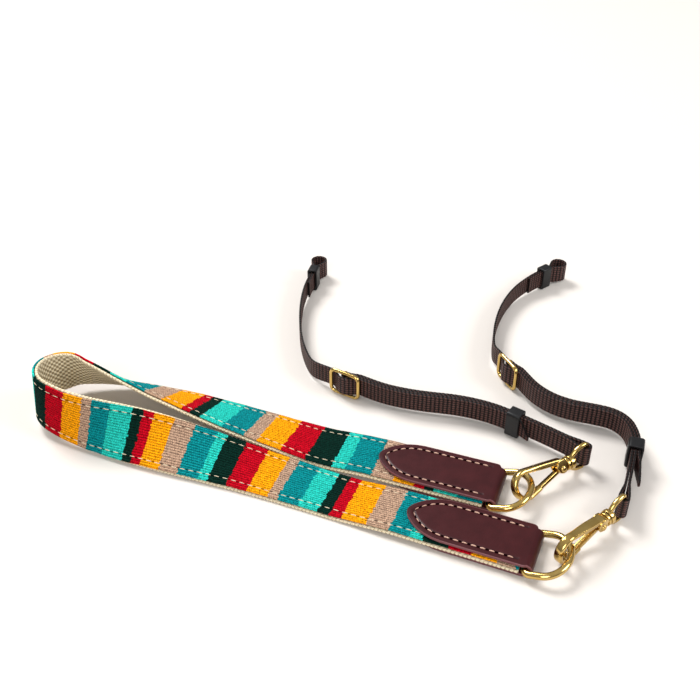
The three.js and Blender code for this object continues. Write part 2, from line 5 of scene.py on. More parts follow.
import bpy
import numpy as np
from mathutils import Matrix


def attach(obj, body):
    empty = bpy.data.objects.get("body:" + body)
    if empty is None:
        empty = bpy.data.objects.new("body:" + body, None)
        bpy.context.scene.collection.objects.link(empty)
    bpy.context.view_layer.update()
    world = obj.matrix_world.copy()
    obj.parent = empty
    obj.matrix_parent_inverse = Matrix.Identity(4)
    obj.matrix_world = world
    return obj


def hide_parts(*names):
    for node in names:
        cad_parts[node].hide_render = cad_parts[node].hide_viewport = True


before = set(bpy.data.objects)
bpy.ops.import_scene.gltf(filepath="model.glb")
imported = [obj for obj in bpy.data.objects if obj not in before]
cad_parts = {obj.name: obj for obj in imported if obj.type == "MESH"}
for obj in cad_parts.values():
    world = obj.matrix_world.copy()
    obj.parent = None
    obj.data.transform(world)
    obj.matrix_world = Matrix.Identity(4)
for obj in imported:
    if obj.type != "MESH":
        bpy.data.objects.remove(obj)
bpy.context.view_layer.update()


# The table, the light and the view.
# A matt white table under three large soft boxes and a pale room, looked down on
# from the bend's left and the open end's right at about 36 degrees.
def linear(code):
    """An sRGB hex colour as linear values: each share of 255 divided by 12.92
    up to 0.04045, and above that ((share + 0.055) / 1.055) to the power 2.4."""
    share = np.array([int(code[i:i + 2], 16) for i in (1, 3, 5)]) / 255
    light = np.where(share <= 0.04045, share / 12.92, ((share + 0.055) / 1.055) ** 2.4)
    return (*light.tolist(), 1.0)


def feed(tree, made, inputs):
    """Gives a node its inputs: each is a value, or the node or socket that feeds it."""
    for name, value in inputs.items():
        if isinstance(value, bpy.types.Node):
            value = value.outputs[0]
        if isinstance(value, bpy.types.NodeSocket):
            tree.links.new(value, made.inputs[name])
        else:
            made.inputs[name].default_value = value


def node(tree, kind, inputs=None, **settings):
    """Adds a node with its settings and its inputs."""
    made = tree.nodes.new("ShaderNode" + kind)
    for name, value in settings.items():
        setattr(made, name, value)
    feed(tree, made, inputs or {})
    return made


def new_finish(name):
    """A material named for the real one, with its node tree and its surface shader."""
    made = bpy.data.materials.new(name)
    made.use_nodes = True
    return made, made.node_tree, made.node_tree.nodes["Principled BSDF"]


# Matt white paint: hardly any shine, so that the soft light alone shades it.
table_paint, tree, surface = new_finish("matt_white_board")
feed(tree, surface, {"Base Color": linear("#d2ccc6"), "Roughness": 0.75, "Specular IOR Level": 0.2})

board = bpy.data.meshes.new("table")
board.from_pydata([(-4, -4, 0), (4, -4, 0), (4, 6, 0), (-4, 6, 0)], [], [(0, 1, 2, 3)])
board.materials.append(table_paint)
table = bpy.data.objects.new("table", board)
bpy.context.collection.objects.link(table)

# The room is white and brighter overhead than at the table's level.
room = bpy.data.worlds.new("pale_room")
room.use_nodes = True
tree = room.node_tree
upward = node(tree, "SeparateXYZ", {0: node(tree, "TexCoord").outputs["Generated"]})
glow = node(tree, "MapRange", {0: upward.outputs[2], 3: 0.2, 4: 0.62})
feed(tree, tree.nodes["Background"], {"Color": linear("#ffffff"), "Strength": glow})
bpy.context.scene.world = room


def soft_box(name, place, turn, size, power):
    """A square area light at a place in metres, turned by three degrees."""
    lamp = bpy.data.lights.new(name, "AREA")
    lamp.size = size
    lamp.energy = power
    made = bpy.data.objects.new(name, lamp)
    made.location = place
    made.rotation_euler = np.radians(turn)
    bpy.context.collection.objects.link(made)


soft_box("overhead_box", (-1.0, 1.1, 1.8), (-28, -29, 0), 0.9, 62)
soft_box("front_box", (-0.35, -1.2, 0.9), (51, -21, 0), 0.8, 11)
soft_box("right_box", (1.5, -0.4, 1.1), (15, 55, 0), 0.7, 18)

eye_data = bpy.data.cameras.new("camera")
eye_data.sensor_width = 36
eye_data.lens = 48.14
eye_data.clip_start = 0.01
camera = bpy.data.objects.new("camera", eye_data)
camera.location = (0.008757, -0.351865, 0.2843)
camera.rotation_euler = np.radians((54, 0, 0))
bpy.context.collection.objects.link(camera)
bpy.context.scene.camera = camera
bpy.context.scene.view_settings.view_transform = "Standard"


# The band's lining.
# Coarse cream cotton canvas, woven as a strap with a beaded selvage and a little
# wider than the textile in front of it, so that it shows as a cream edge.
LINING_WIDTH = 25
LINING_THICKNESS = 1.4
BAND_THICKNESS = 2.7  # both layers and the air between them
BAND_LENGTH = 462  # from ring bar to ring bar
BAND_END = 2.2  # from ring bar to the band's end
TAB_LENGTH = 52
TAB_THICKNESS = 6.4
TAB_RAMP = 32  # the run in which the band sinks from between the leather to the table
BAND_START = np.array([80.2566, -99.6652])  # middle of the near ring's bar

# Share of the length, heading, lean from upright, and lift as a share of the width.
BAND_ROWS = np.array([
    (0.0, 157.5, 90, 0), (0.18, 157.5, 90, 0), (0.246, 159.3, 85, 0),
    (0.295, 163.3, 75, 0), (0.353, 167.3, 54, 0), (0.395, 167.5, 35, 0),
    (0.424, 165, 21, 0.02), (0.457, 157, 12, 0.08), (0.4775, 147, 9, 0.13),
    (0.5095, 95, 6, 0.17), (0.551, 20, 14, 0.16), (0.572, -4, 27, 0.12),
    (0.615, -13, 47, 0.04), (0.655, -18, 60, 0), (0.705, -23, 71, 0),
    (0.785, -22.5, 83, 0), (0.855, -20.5, 90, 0), (1.0, -20.5, 90, 0),
])


def between(at, value, place):
    """A smooth line through a table. Between two rows it is the cubic that has
    their values and slopes. A row's slope is the harmonic mean of the slopes
    before and after it, or none where those have different signs."""
    rise = np.diff(value) / np.diff(at)
    before, after = np.r_[rise[0], rise], np.r_[rise, rise[-1]]
    same = before * after > 0
    slope = np.where(same, 2 * before * after / np.where(same, before + after, 1), 0)
    held = np.clip(place, at[0], at[-1])
    i = np.clip(np.searchsorted(at, held, side="right") - 1, 0, len(at) - 2)
    span = at[i + 1] - at[i]
    t = (held - at[i]) / span
    return (value[i] * (2 * t**3 - 3 * t**2 + 1) + value[i + 1] * (3 * t**2 - 2 * t**3)
            + span * slope[i] * (t**3 - 2 * t**2 + t) + span * slope[i + 1] * (t**3 - t**2))


def ease(x):
    """3x² - 2x³ between 0 and 1, and level outside."""
    x = np.clip(x, 0, 1)
    return x * x * (3 - 2 * x)


def unit(v):
    """Vectors divided by their lengths."""
    return v / np.linalg.norm(v, axis=-1, keepdims=True)


class TableLine:
    """A line on the table: half-millimetre steps from a start, each turned to the
    heading that the table of rows gives there, and straight on past both ends."""

    def __init__(self, start, at, heading):
        self.at, self.heading = at, heading
        middles = np.arange(0.25, at[-1], 0.5)
        self.points = np.vstack([start, start + np.cumsum(0.5 * self.along(middles), axis=0)])

    def along(self, d):
        """The direction at a distance: the cosine and sine of the heading."""
        turn = np.radians(between(self.at, self.heading, d))
        return np.stack([np.cos(turn), np.sin(turn)], -1)

    def place(self, d, aside=0.0):
        """The last step before a distance, the rest of it straight ahead, and aside
        to the left."""
        step = np.clip(np.floor(d / 0.5).astype(int), 0, len(self.points) - 1)
        along = self.along(d)
        left = np.stack([-along[..., 1], along[..., 0]], -1)
        aside = np.broadcast_to(aside, np.shape(d))[..., None]
        return self.points[step] + along * (d - 0.5 * step)[..., None] + left * aside


band_at = BAND_ROWS[:, 0] * BAND_LENGTH
band_line = TableLine(BAND_START, band_at, BAND_ROWS[:, 1])


def band_middle(d):
    """The band's middle: over its line on the table, as high as half its width
    times cos(lean) and half its thickness times sin(lean), lifted as the rows
    say, and raised into the leather near both ends."""
    lean = np.radians(between(band_at, BAND_ROWS[:, 2], d))
    inside = 1 - ease((np.minimum(d, BAND_LENGTH - d) - TAB_LENGTH) / TAB_RAMP)
    height = LINING_WIDTH / 2 * np.cos(lean) + BAND_THICKNESS / 2 * np.sin(lean)
    height += between(band_at, BAND_ROWS[:, 3], d) * LINING_WIDTH
    height += inside * (TAB_THICKNESS - BAND_THICKNESS) / 2
    return np.concatenate([band_line.place(d), height[..., None]], -1)


def band_place(d, across, out):
    """Points at distances along the band, across it and out of its textile side.
    The direction across leans with the band and is square to its run."""
    lean = np.radians(between(band_at, BAND_ROWS[:, 2], d))[..., None]
    along = unit(band_middle(d + 0.5) - band_middle(d - 0.5))
    left = unit(np.cross([0.0, 0.0, 1.0], along))
    side = np.array([0.0, 0.0, 1.0]) * np.cos(lean) - left * np.sin(lean)
    side = unit(side - along * np.sum(side * along, -1, keepdims=True))
    return band_middle(d) + side * across[..., None] + np.cross(side, along) * out[..., None]


def shell(grid, ring=False, u=None, v=None, mark=None):
    """A closed skin over a grid of points, rows along the piece and columns round
    it. Its last column joins the first. Its last row joins the first in a ring,
    and otherwise a face fills each end. It is turned inside out where the volume
    under its faces, the sum of a·(b × c) / 6, comes out negative. u and v place
    the corners on the pattern, in millimetres, and mark is one number a point."""
    rows, cols = grid.shape[:2]
    i = np.arange(rows if ring else rows - 1)[:, None]
    j = np.arange(cols)[None, :]
    corners = [(i, j), (i + 1, j), (i + 1, j + 1), (i, j + 1)]
    quads = np.stack([a % rows * cols + b % cols for a, b in corners], -1).reshape(-1, 4)
    u = np.arange(rows + 1.0) if u is None else u
    v = np.arange(cols + 1.0) if v is None else v
    places = [np.stack([u[a] + 0 * b, v[b] + 0 * a], -1) for a, b in corners]
    pattern = np.stack(places, 2).reshape(-1, 4, 2)
    points = grid.reshape(-1, 3)
    a, b, c, d = (points[quads[:, k]] - points.mean(0) for k in range(4))
    volume = np.sum(a * np.cross(b, c)) + np.sum(a * np.cross(c, d))
    ends = []
    if not ring:
        for row, order in ((0, -1), (rows - 1, 1)):
            ends.append((np.arange(cols)[::order] + row * cols, u[row], v[:cols][::order]))
            p = points[ends[-1][0]] - points.mean(0)
            volume += np.sum(p[0] * np.cross(p[1:-1], p[2:]))
    turn = -1 if volume < 0 else 1
    faces = quads[:, ::turn].tolist() + [end[0][::turn].tolist() for end in ends]
    caps = [np.stack([np.full(cols, at), across[::turn]], -1) for _, at, across in ends]
    pattern = np.vstack([pattern[:, ::turn].reshape(-1, 2), *caps])
    mark = np.zeros(rows * cols) if mark is None else np.ravel(mark)
    return points, faces, pattern, mark


def make(name, shells, finish, body, stands_for):
    """One piece of one or more shells, in metres, with its pattern places and
    marks, smooth but for edges past 40 degrees, and fixed to its body."""
    starts = np.cumsum([0] + [len(s[0]) for s in shells])
    faces = [[k + start for k in f] for s, start in zip(shells, starts) for f in s[1]]
    mesh = bpy.data.meshes.new(name)
    mesh.from_pydata(np.vstack([s[0] for s in shells]) * 0.001, [], faces)
    layer = mesh.uv_layers.new(name="pattern")
    places = np.vstack([s[2] for s in shells]) * 0.001
    layer.data.foreach_set("uv", places.astype(np.float32).ravel())
    marks = mesh.attributes.new("mark", "FLOAT", "POINT")
    marks.data.foreach_set("value", np.concatenate([s[3] for s in shells]).astype(np.float32))
    mesh.polygons.foreach_set("use_smooth", [True] * len(mesh.polygons))
    mesh.set_sharp_from_angle(angle=np.radians(40))
    mesh.materials.append(finish)
    made = bpy.data.objects.new(name, mesh)
    bpy.context.collection.objects.link(made)
    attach(made, body)
    if stands_for:
        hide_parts(stands_for)
    return made


CANVAS_THREAD = 1.4  # between threads
SELVAGE_BEAD = 1.7  # between the selvage's beads
SLUB = 1.11  # length of a thick place in the spun thread

half = LINING_THICKNESS / 2
lining_d = np.arange(BAND_END, BAND_LENGTH - BAND_END, 0.55)
flat_run = np.linspace(-1, 1, 9) * (LINING_WIDTH / 2 - half)
edge_turn = np.radians(np.linspace(-80, 80, 7))
lining_across = np.r_[flat_run, LINING_WIDTH / 2 - half + half * np.cos(edge_turn),
                      flat_run[::-1], half - LINING_WIDTH / 2 - half * np.cos(edge_turn)]
lining_out = half * np.r_[np.full(9, -1), np.sin(edge_turn), np.full(9, 1), -np.sin(edge_turn)]
d, across = np.meshgrid(lining_d, lining_across, indexing="ij")
at_edge = ease((np.abs(across) - LINING_WIDTH / 2 + 1) / 0.8)
bead = np.abs(np.sin(np.pi * (d + lining_out) / SELVAGE_BEAD))
across = across * (1 + at_edge * 0.02 * (bead - 0.6))
out = lining_out * (1 - at_edge * 0.3 * (1 - bead)) + (LINING_THICKNESS - BAND_THICKNESS) / 2
lining_shell = shell(band_place(d, across, out), u=lining_d, v=np.r_[lining_across, lining_across[0]],
                     mark=at_edge)


def thread_wave(tree, distance, pitch):
    """A wave over the pattern: the sine of pi times a distance over a pitch in
    millimetres, so that it passes 0 once a pitch."""
    turn = node(tree, "Math", {0: distance, 1: np.pi * 1000 / pitch}, operation="MULTIPLY")
    return node(tree, "Math", {0: turn}, operation="SINE")


def ridges(tree, distance, pitch):
    """Round ridges over the pattern, one a pitch: the thread wave made positive."""
    return node(tree, "Math", {0: thread_wave(tree, distance, pitch)}, operation="ABSOLUTE")


# Unbleached cotton canvas, woven coarse: threads cross square, painted lighter
# where they cross and darker in the gaps as painted highlight and shade, and the
# selvage's plies lie aslant, painted lighter and darker by turns in the same way.
# The threads are drawn coarser than the real ones, so that they show.
canvas, tree, surface = new_finish("cotton_canvas")
place = node(tree, "UVMap", uv_map="pattern")
pair = node(tree, "SeparateXYZ", {0: place})
warp = thread_wave(tree, pair.outputs[1], CANVAS_THREAD)
weft = thread_wave(tree, pair.outputs[0], CANVAS_THREAD)
crossing = node(tree, "Math", {0: warp, 1: weft}, operation="MULTIPLY")
crossing = node(tree, "MapRange", {0: crossing, 1: -0.5, 2: 0.8})
slubs = node(tree, "TexNoise", {"Vector": place, "Scale": 1000 / SLUB, "Detail": 3})
light = node(tree, "Math", {0: crossing, 1: slubs}, operation="MULTIPLY")
light = node(tree, "MapRange", {0: light, 2: 0.42})
# Painted highlight and shade: lighter where the threads cross, darker in the gaps.
tone = node(tree, "MixRGB", {0: light, 1: linear("#8d7c5e"), 2: linear("#efe2c2")})
slant = node(tree, "Math", {0: pair.outputs[1], 1: 0.9, 2: pair.outputs[0]}, operation="MULTIPLY_ADD")
slant = node(tree, "Math", {0: slubs, 1: 0.0009, 2: slant}, operation="MULTIPLY_ADD")
ply = node(tree, "MapRange", {0: ridges(tree, slant, SELVAGE_BEAD), 2: 0.6})
edge_tone = node(tree, "MixRGB", {0: ply, 1: linear("#a18d6b"), 2: linear("#e2d3b4")})
edge_mark = node(tree, "Attribute", attribute_name="mark").outputs["Fac"]
tone = node(tree, "MixRGB", {0: edge_mark, 1: tone, 2: edge_tone})
relief = node(tree, "Bump", {"Height": crossing, "Strength": 0.9, "Distance": 0.0004})
feed(tree, surface, {"Base Color": tone, "Roughness": 0.9, "Specular IOR Level": 0.2,
                     "Normal": relief})

lining = make("band_lining_canvas", [lining_shell], canvas, "strap", "band_lining")

# The band's face.
# A weft-faced cotton textile in dark green, red, amber, tan, teal and turquoise
# stripes. Its thick warps show as ribs along the band, packed over by the weft.
FACE_WIDTH = 24
FACE_THICKNESS = 1
FACE_EDGE = 0.4  # radius of the edge
RIB = 1.15  # between the warps' ribs
RIB_DEPTH = 0.14
WEFT = 0.475  # between weft threads
JUMP_RUN = 9.1  # run in which a rib's stripe edges wander
JUMP_SIZE = 0.95  # how far an edge may jump either way
JUMP_STEP = 7.3  # keeps one rib's jumps apart from the next one's
FUZZ = 1  # width of a tuft
YARN_STREAK = (0.667, 3.85)  # a tone in the yarn, along the band and across it
STITCH_LENGTH = 2.7
STITCH_PITCH = 4
STITCH_START = TAB_LENGTH - 8
STITCH_ROW = 9.1  # from the band's middle
YARN = {
    "green": "#04271f", "red": "#bd041c", "amber": "#fba20a",
    "tan": "#b8967e", "teal": "#05868b", "turquoise": "#27c6b6",
}
# Stripes from the near ring to the far one, with their widths.
NEAR_STRIPES = [
    ("teal", 3.5), ("tan", 6.5), ("amber", 10), ("red", 10), ("green", 11), ("turquoise", 5),
    ("teal", 9.5), ("tan", 10), ("amber", 10), ("red", 5.5), ("green", 6), ("turquoise", 9),
    ("teal", 9.5), ("tan", 4.5), ("amber", 10), ("red", 10), ("green", 9), ("turquoise", 4.5),
    ("teal", 9.5), ("tan", 9), ("amber", 9), ("red", 5), ("green", 4.5), ("turquoise", 9.5),
    ("teal", 8.5), ("tan", 4.5), ("amber", 9), ("red", 9), ("green", 9),
]
FAR_STRIPES = [
    ("turquoise", 5), ("teal", 9), ("tan", 5), ("amber", 9), ("red", 10), ("green", 9),
    ("turquoise", 9), ("teal", 9.5), ("tan", 10), ("amber", 11), ("red", 5), ("green", 5),
    ("turquoise", 11.5), ("teal", 11.5), ("tan", 6), ("amber", 12), ("red", 12),
    ("green", 12.5), ("turquoise", 6), ("teal", 11.5), ("tan", 10.5), ("amber", 9),
    ("red", 4.5), ("green", 4.5), ("turquoise", 10), ("teal", 14),
]

face_d = np.arange(BAND_END, BAND_LENGTH - BAND_END, 0.68)
half, side = FACE_THICKNESS / 2, FACE_WIDTH / 2 - FACE_EDGE
top_across = np.linspace(-1, 1, 105) * side
valley = 1 - np.abs(np.sin(np.pi * top_across / RIB))
edge_turn = np.radians(np.linspace(75, -75, 5))
face_across = np.r_[top_across, side + FACE_EDGE * np.cos(edge_turn),
                    np.linspace(11, -11, 4), -side - FACE_EDGE * np.cos(edge_turn)]
face_out = np.r_[half - RIB_DEPTH * valley**2, half * np.sin(edge_turn), np.full(4, -half),
                 -half * np.sin(edge_turn)]
d, across = np.meshgrid(face_d, face_across, indexing="ij")
wander = (np.sin(d / 3.1) + np.sin(d / 7.7 + 2) + np.sin(d / 1.7 + 4)) * 0.004
out = (BAND_THICKNESS - FACE_THICKNESS) / 2 + face_out + 0 * d
face_shell = shell(band_place(d, across * (1 + wander), out), u=face_d,
                   v=np.r_[face_across, face_across[0]])

# Spun cotton, weft-faced: dull, with a little fuzz, a tone that shifts from one
# weft thread to the next, and stripe edges that step from rib to rib. The weave's
# bumps are painted lighter and its gaps darker, as painted highlight and shade.
# The fuzz is drawn coarser than it is, so that it shows.
kilim, tree, surface = new_finish("weft_faced_cotton")
place = node(tree, "UVMap", uv_map="pattern")
pair = node(tree, "SeparateXYZ", {0: place})
rib_share = node(tree, "Math", {0: pair.outputs[1], 1: RIB / 1000}, operation="DIVIDE")
rib_number = node(tree, "Math", {0: rib_share}, operation="FLOOR")
jump_along = node(tree, "Math", {0: pair.outputs[0], 1: 1000 / JUMP_RUN}, operation="MULTIPLY")
jump_across = node(tree, "Math", {0: rib_number, 1: JUMP_STEP}, operation="MULTIPLY")
jump_place = node(tree, "CombineXYZ", {0: jump_along, 1: jump_across})
jump = node(tree, "TexNoise", {"Vector": jump_place, "Scale": 1, "Detail": 0})
jump = node(tree, "MapRange", {0: jump, 3: -JUMP_SIZE / 1000, 4: JUMP_SIZE / 1000})
along = node(tree, "Math", {0: pair.outputs[0], 1: jump}, operation="ADD")
middle = sum(width for _, width in NEAR_STRIPES)


def stripe_ramp(stripes, start):
    """A ramp over a run of stripes, with a hard step at each one's start."""
    run = sum(width for _, width in stripes)
    share = node(tree, "Math", {0: along, 1: start / 1000}, operation="SUBTRACT")
    share = node(tree, "Math", {0: share, 1: run / 1000}, operation="DIVIDE")
    made = node(tree, "ValToRGB", {0: share})
    made.color_ramp.interpolation = "CONSTANT"
    elements = made.color_ramp.elements
    elements.remove(elements[1])
    at = 0
    for colour, width in stripes:
        step = elements[0] if at == 0 else elements.new(at / run)
        step.color = linear(YARN[colour])
        at += width
    return made


beyond = node(tree, "Math", {0: along, 1: middle / 1000}, operation="GREATER_THAN")
stripe = node(tree, "MixRGB", {0: beyond, 1: stripe_ramp(NEAR_STRIPES, 0),
                               2: stripe_ramp(FAR_STRIPES, middle)})

# The weft goes over and under by turns, so that a thread that is up on one rib
# is down on the next one.
odd = node(tree, "Math", {0: rib_number, 1: np.pi}, operation="MULTIPLY")
pick = node(tree, "Math", {0: pair.outputs[0], 1: np.pi * 1000 / WEFT, 2: odd}, operation="MULTIPLY_ADD")
pick = node(tree, "Math", {0: pick}, operation="COSINE")
ribs = ridges(tree, pair.outputs[1], RIB)
fuzz = node(tree, "TexNoise", {"Vector": place, "Scale": 1000 / FUZZ, "Detail": 2, "Roughness": 0.6})
weave = node(tree, "Math", {0: pick, 1: 0.3, 2: ribs}, operation="MULTIPLY_ADD")
weave = node(tree, "Math", {0: fuzz, 1: 3.5, 2: weave}, operation="MULTIPLY_ADD")
# Painted highlight and shade: the colour is lighter where the weave stands up and darker in its gaps.
weave_shading = node(tree, "MapRange", {0: weave, 1: 1.3, 2: 3.3, 3: 0.36, 4: 1.24})
streak_scale = (1000 / YARN_STREAK[0], 1000 / YARN_STREAK[1], 1)
streak = node(tree, "Mapping", {"Vector": place, "Scale": streak_scale})
yarn = node(tree, "TexNoise", {"Vector": streak, "Scale": 1, "Detail": 3, "Roughness": 0.7})
yarn_tone = node(tree, "MapRange", {0: yarn, 1: 0.25, 2: 0.75, 3: 0.78, 4: 1.2})

# The thread that goes on behind pulls a dent between two running stitches, drawn as painted shade: the
# colour is darkened there.
from_middle = node(tree, "Math", {0: pair.outputs[1]}, operation="ABSOLUTE")
from_row = node(tree, "Math", {0: from_middle, 1: STITCH_ROW / 1000}, operation="SUBTRACT")
from_row = node(tree, "Math", {0: from_row}, operation="ABSOLUTE")
in_row = node(tree, "MapRange", {0: from_row, 1: 0.0003, 2: 0.0007, 3: 1, 4: 0})
turn = node(tree, "Math", {0: pair.outputs[0], 1: STITCH_START / 1000}, operation="SUBTRACT")
turn = node(tree, "Math", {0: turn, 1: 2 * np.pi * 1000 / STITCH_PITCH}, operation="MULTIPLY")
turn = node(tree, "Math", {0: turn}, operation="COSINE")
between_stitches = node(tree, "MapRange", {0: turn, 1: -0.2, 2: -0.8, 3: 0, 4: 0.6})
dent_shade = node(tree, "Math", {0: in_row, 1: between_stitches}, operation="MULTIPLY")
outside_dent_shade = node(tree, "Math", {0: 1.0, 1: dent_shade}, operation="SUBTRACT")

light = node(tree, "Math", {0: weave_shading, 1: yarn_tone}, operation="MULTIPLY")
light = node(tree, "Math", {0: light, 1: outside_dent_shade}, operation="MULTIPLY")
tone = node(tree, "VectorMath", {0: stripe, "Scale": light}, operation="SCALE")
relief = node(tree, "Bump", {"Height": weave, "Strength": 1.0, "Distance": 0.0003})
feed(tree, surface, {"Base Color": tone, "Roughness": 0.95, "Specular IOR Level": 0.06,
                     "Normal": relief})

face = make("band_face_textile", [face_shell], kilim, "strap", "band_face")

# The band's two rows of running stitches.
# Thick cream cotton thread that holds the textile to the canvas, hand-wide
# stitches with gaps almost as long.
THREAD = 0.4
THREAD_TWIST = 0.667  # between turns of the twist


def stitch_grid(path_at, middle, length, thickness, sides=6, steps=6):
    """One stitch: an ellipse in length and height, sides points round and as
    thick as the thread, whose ends dip into the cloth. path_at turns distance,
    place across and height into points."""
    t = np.linspace(-1, 1, steps + 1)[:, None]
    angle = 2 * np.pi * np.arange(sides)[None, :] / sides
    full = thickness / 2 * np.sqrt(1 - 0.96 * t**2)
    d = middle + length / 2 * t + 0 * angle
    return path_at(d, full * np.cos(angle), full * np.sin(angle) - 0.25 * thickness * t**2)


stitches = []
for row in (-STITCH_ROW, STITCH_ROW):
    for d in np.arange(STITCH_START, BAND_LENGTH - STITCH_START, STITCH_PITCH):
        line = row + 0.25 * np.sin(d * 1.7 + row)
        stitches.append(shell(stitch_grid(
            lambda s, x, z: band_place(s, line + x, BAND_THICKNESS / 2 + z), d, STITCH_LENGTH, THREAD)))


def flecked_finish(name, fleck, dark, light, roughness, specular=0.5):
    """A dull finish whose tone goes from dark to light by a noise, fleck wide."""
    made, tree, surface = new_finish(name)
    place = node(tree, "TexCoord").outputs["Object"]
    noise = node(tree, "TexNoise", {"Vector": place, "Scale": 1000 / fleck, "Detail": 2})
    tone = node(tree, "MixRGB", {0: noise, 1: linear(dark), 2: linear(light)})
    feed(tree, surface, {"Base Color": tone, "Roughness": roughness, "Specular IOR Level": specular})
    return made


# Waxed cotton thread: cream, softly shining, with its twist just showing. The
# twist is drawn coarser than it is, so that it shows.
cream_thread = flecked_finish("cream_cotton_thread", THREAD_TWIST, "#b09c80", "#ead9bc", 0.7)
running = make("band_running_stitches", stitches, cream_thread, "strap", None)

# The leather ends.
# Vegetable-tanned hide in burgundy brown, one strip to each end, pointed at both
# tips and folded round the ring's bar, saddle-stitched through the band.
LEATHER = 1.4
TAB_WIDTH = 23.5
TAB_POINT = 19  # length over which the tip narrows
FOLD_INSIDE = 3.6
TONGUE_WIDTH = 21.2  # at the fold
TONGUE_SHIFT = 0.6  # the tongue and the ring sit a little off the middle
RING_SHIFT = 1.2
SEAM_INSET = 2.9
SEAM_PITCH = 3.7
SEAM_STITCH = 2.4
SEAM_THREAD = 0.62
AWL_HOLE = 1.9
AWL_HOLE_WIDTH = 1.05
HIDE_GRAIN = 0.455  # width of a pebble
HIDE_CLOUD = 6.25  # width of a tone in the dye
LINEN_TWIST = 0.556  # between turns of the twist
# The awl holes are drawn as painted shade; this is the width of a lighter frayed tuft in it.
HOLE_SHADE_FRAY = 0.333  # width of a fibre's tuft


def half_width(x):
    """A leather end's half width at x from the ring's bar, with its tip at minus
    its length: a quadratic curve out from the point, rounded off at its very tip."""
    start, bend, full = TAB_WIDTH / 16, TAB_WIDTH / 2, TAB_POINT / 3
    run = np.clip(x + TAB_LENGTH, 0, TAB_POINT)
    t = (-full + np.sqrt(full**2 + run * (TAB_POINT - 2 * full))) / (TAB_POINT - 2 * full)
    t = np.clip(t, 0, 1)
    wide = start * (1 - t)**2 + bend * (2 * t - t**2)
    tip = np.clip((x + TAB_LENGTH) / 1.2, 0, 1)
    return np.maximum(wide * np.sqrt(tip * (2 - tip)), 0.02)


def tab_shell():
    """The folded strip: rows follow it from the lower tip round the bar to the
    upper tip, and columns go round its section, a flat strip with rounded edges.
    Round shoulders draw it in to the tongue at the fold, and a groove, a bell
    curve of the distance from the outline less the inset, follows the seam."""
    radius = (FOLD_INSIDE + LEATHER) / 2
    tip_steps = [0, 0.03, 0.12, 0.27, 0.48, 0.75, 1.1]
    flat = TAB_LENGTH - np.r_[tip_steps, np.arange(1.5, TAB_LENGTH - 3, 0.5),
                              np.linspace(TAB_LENGTH - 3, TAB_LENGTH, 16)]
    turn = np.radians(np.linspace(-90, 90, 33))[1:-1]
    x = np.r_[-flat, radius * np.cos(turn), -flat[::-1]]
    z = np.r_[np.full(len(flat), -radius), radius * np.sin(turn), np.full(len(flat), radius)]
    out = np.stack([np.r_[0 * flat, np.cos(turn), 0 * flat],
                    np.r_[0 * flat - 1, np.sin(turn), 0 * flat + 1]], -1)
    run = np.r_[0, np.cumsum(np.hypot(np.diff(x), np.diff(z)))]
    from_fold = np.abs(run - run[-1] / 2)
    narrow = 1 - np.sqrt(1 - np.clip((np.pi * radius / 2 + 1.7 - from_fold) / 1.8, 0, 1)**2)
    half = (1 - narrow) * half_width(x) + narrow * TONGUE_WIDTH / 2
    middle = -TONGUE_SHIFT * narrow
    rim = np.radians(np.linspace(90, -90, 9))[1:-1]
    top = np.sin(np.linspace(-1, 1, 47) * np.pi / 2)
    low = np.linspace(1, -1, 7)
    at_rim = np.repeat([False, True, False, True], [len(top), len(rim), len(low), len(rim)])
    curve = np.minimum(0.55, half * 0.5)
    side = half - curve
    across = np.concatenate([
        np.outer(side, top), side[:, None] + np.outer(curve, np.cos(rim)),
        np.outer(side, low), -side[:, None] - np.outer(curve, np.cos(rim))], 1)
    thick = LEATHER / 2 * np.sqrt(np.clip(half / 1.2, 0, 1))
    height = np.outer(thick, np.r_[np.ones(len(top)), np.sin(rim), -np.ones(len(low)), -np.sin(rim)])
    edge_x = np.linspace(-TAB_LENGTH, 0, 240)
    edge = np.stack([edge_x, half_width(edge_x)], -1)
    spots = np.stack([np.broadcast_to(x[:, None], across.shape), np.abs(across)], -1)
    from_edge = np.linalg.norm(spots[:, :, None] - edge[None, None], axis=-1).min(-1)
    reach = ease((from_fold[:, None] - np.pi * radius / 2 - 2.8) / 0.8)
    seam = np.exp(-((from_edge - SEAM_INSET) / 0.45)**2) * reach
    rounded = 0.22 * np.exp(-from_edge / 1.4) * (1 - narrow[:, None])
    height -= np.where((height > 0) & ~at_rim, 0.28 * seam + rounded, 0)
    grid = np.stack([x[:, None] + out[:, :1] * height, middle[:, None] + across,
                     z[:, None] + out[:, 1:] * height], -1)
    # The mark is 1 on the cut rim, and minus the groove's depth along the seam, where the leather is
    # painted darker as shade.
    return grid, run, np.where(at_rim, 1.0, -seam)


def axes_at(origin, x, y):
    """Turns points of a piece's own frame into the part's: origin plus each
    coordinate times its axis."""
    turn = np.stack([x, y, np.cross(x, y)])
    return lambda points: np.asarray(points) @ turn + origin


LEVEL = np.array([0.0, 0.0, 1.0])
bars = {}
for name, d, sign in (("near", 0.0, -1), ("far", float(BAND_LENGTH), 1)):
    outward = np.r_[band_line.along(np.array(d)) * sign, 0.0]
    origin = np.r_[band_line.place(np.array(d)), TAB_THICKNESS / 2]
    bars[name] = (origin, outward, np.cross(LEVEL, outward))

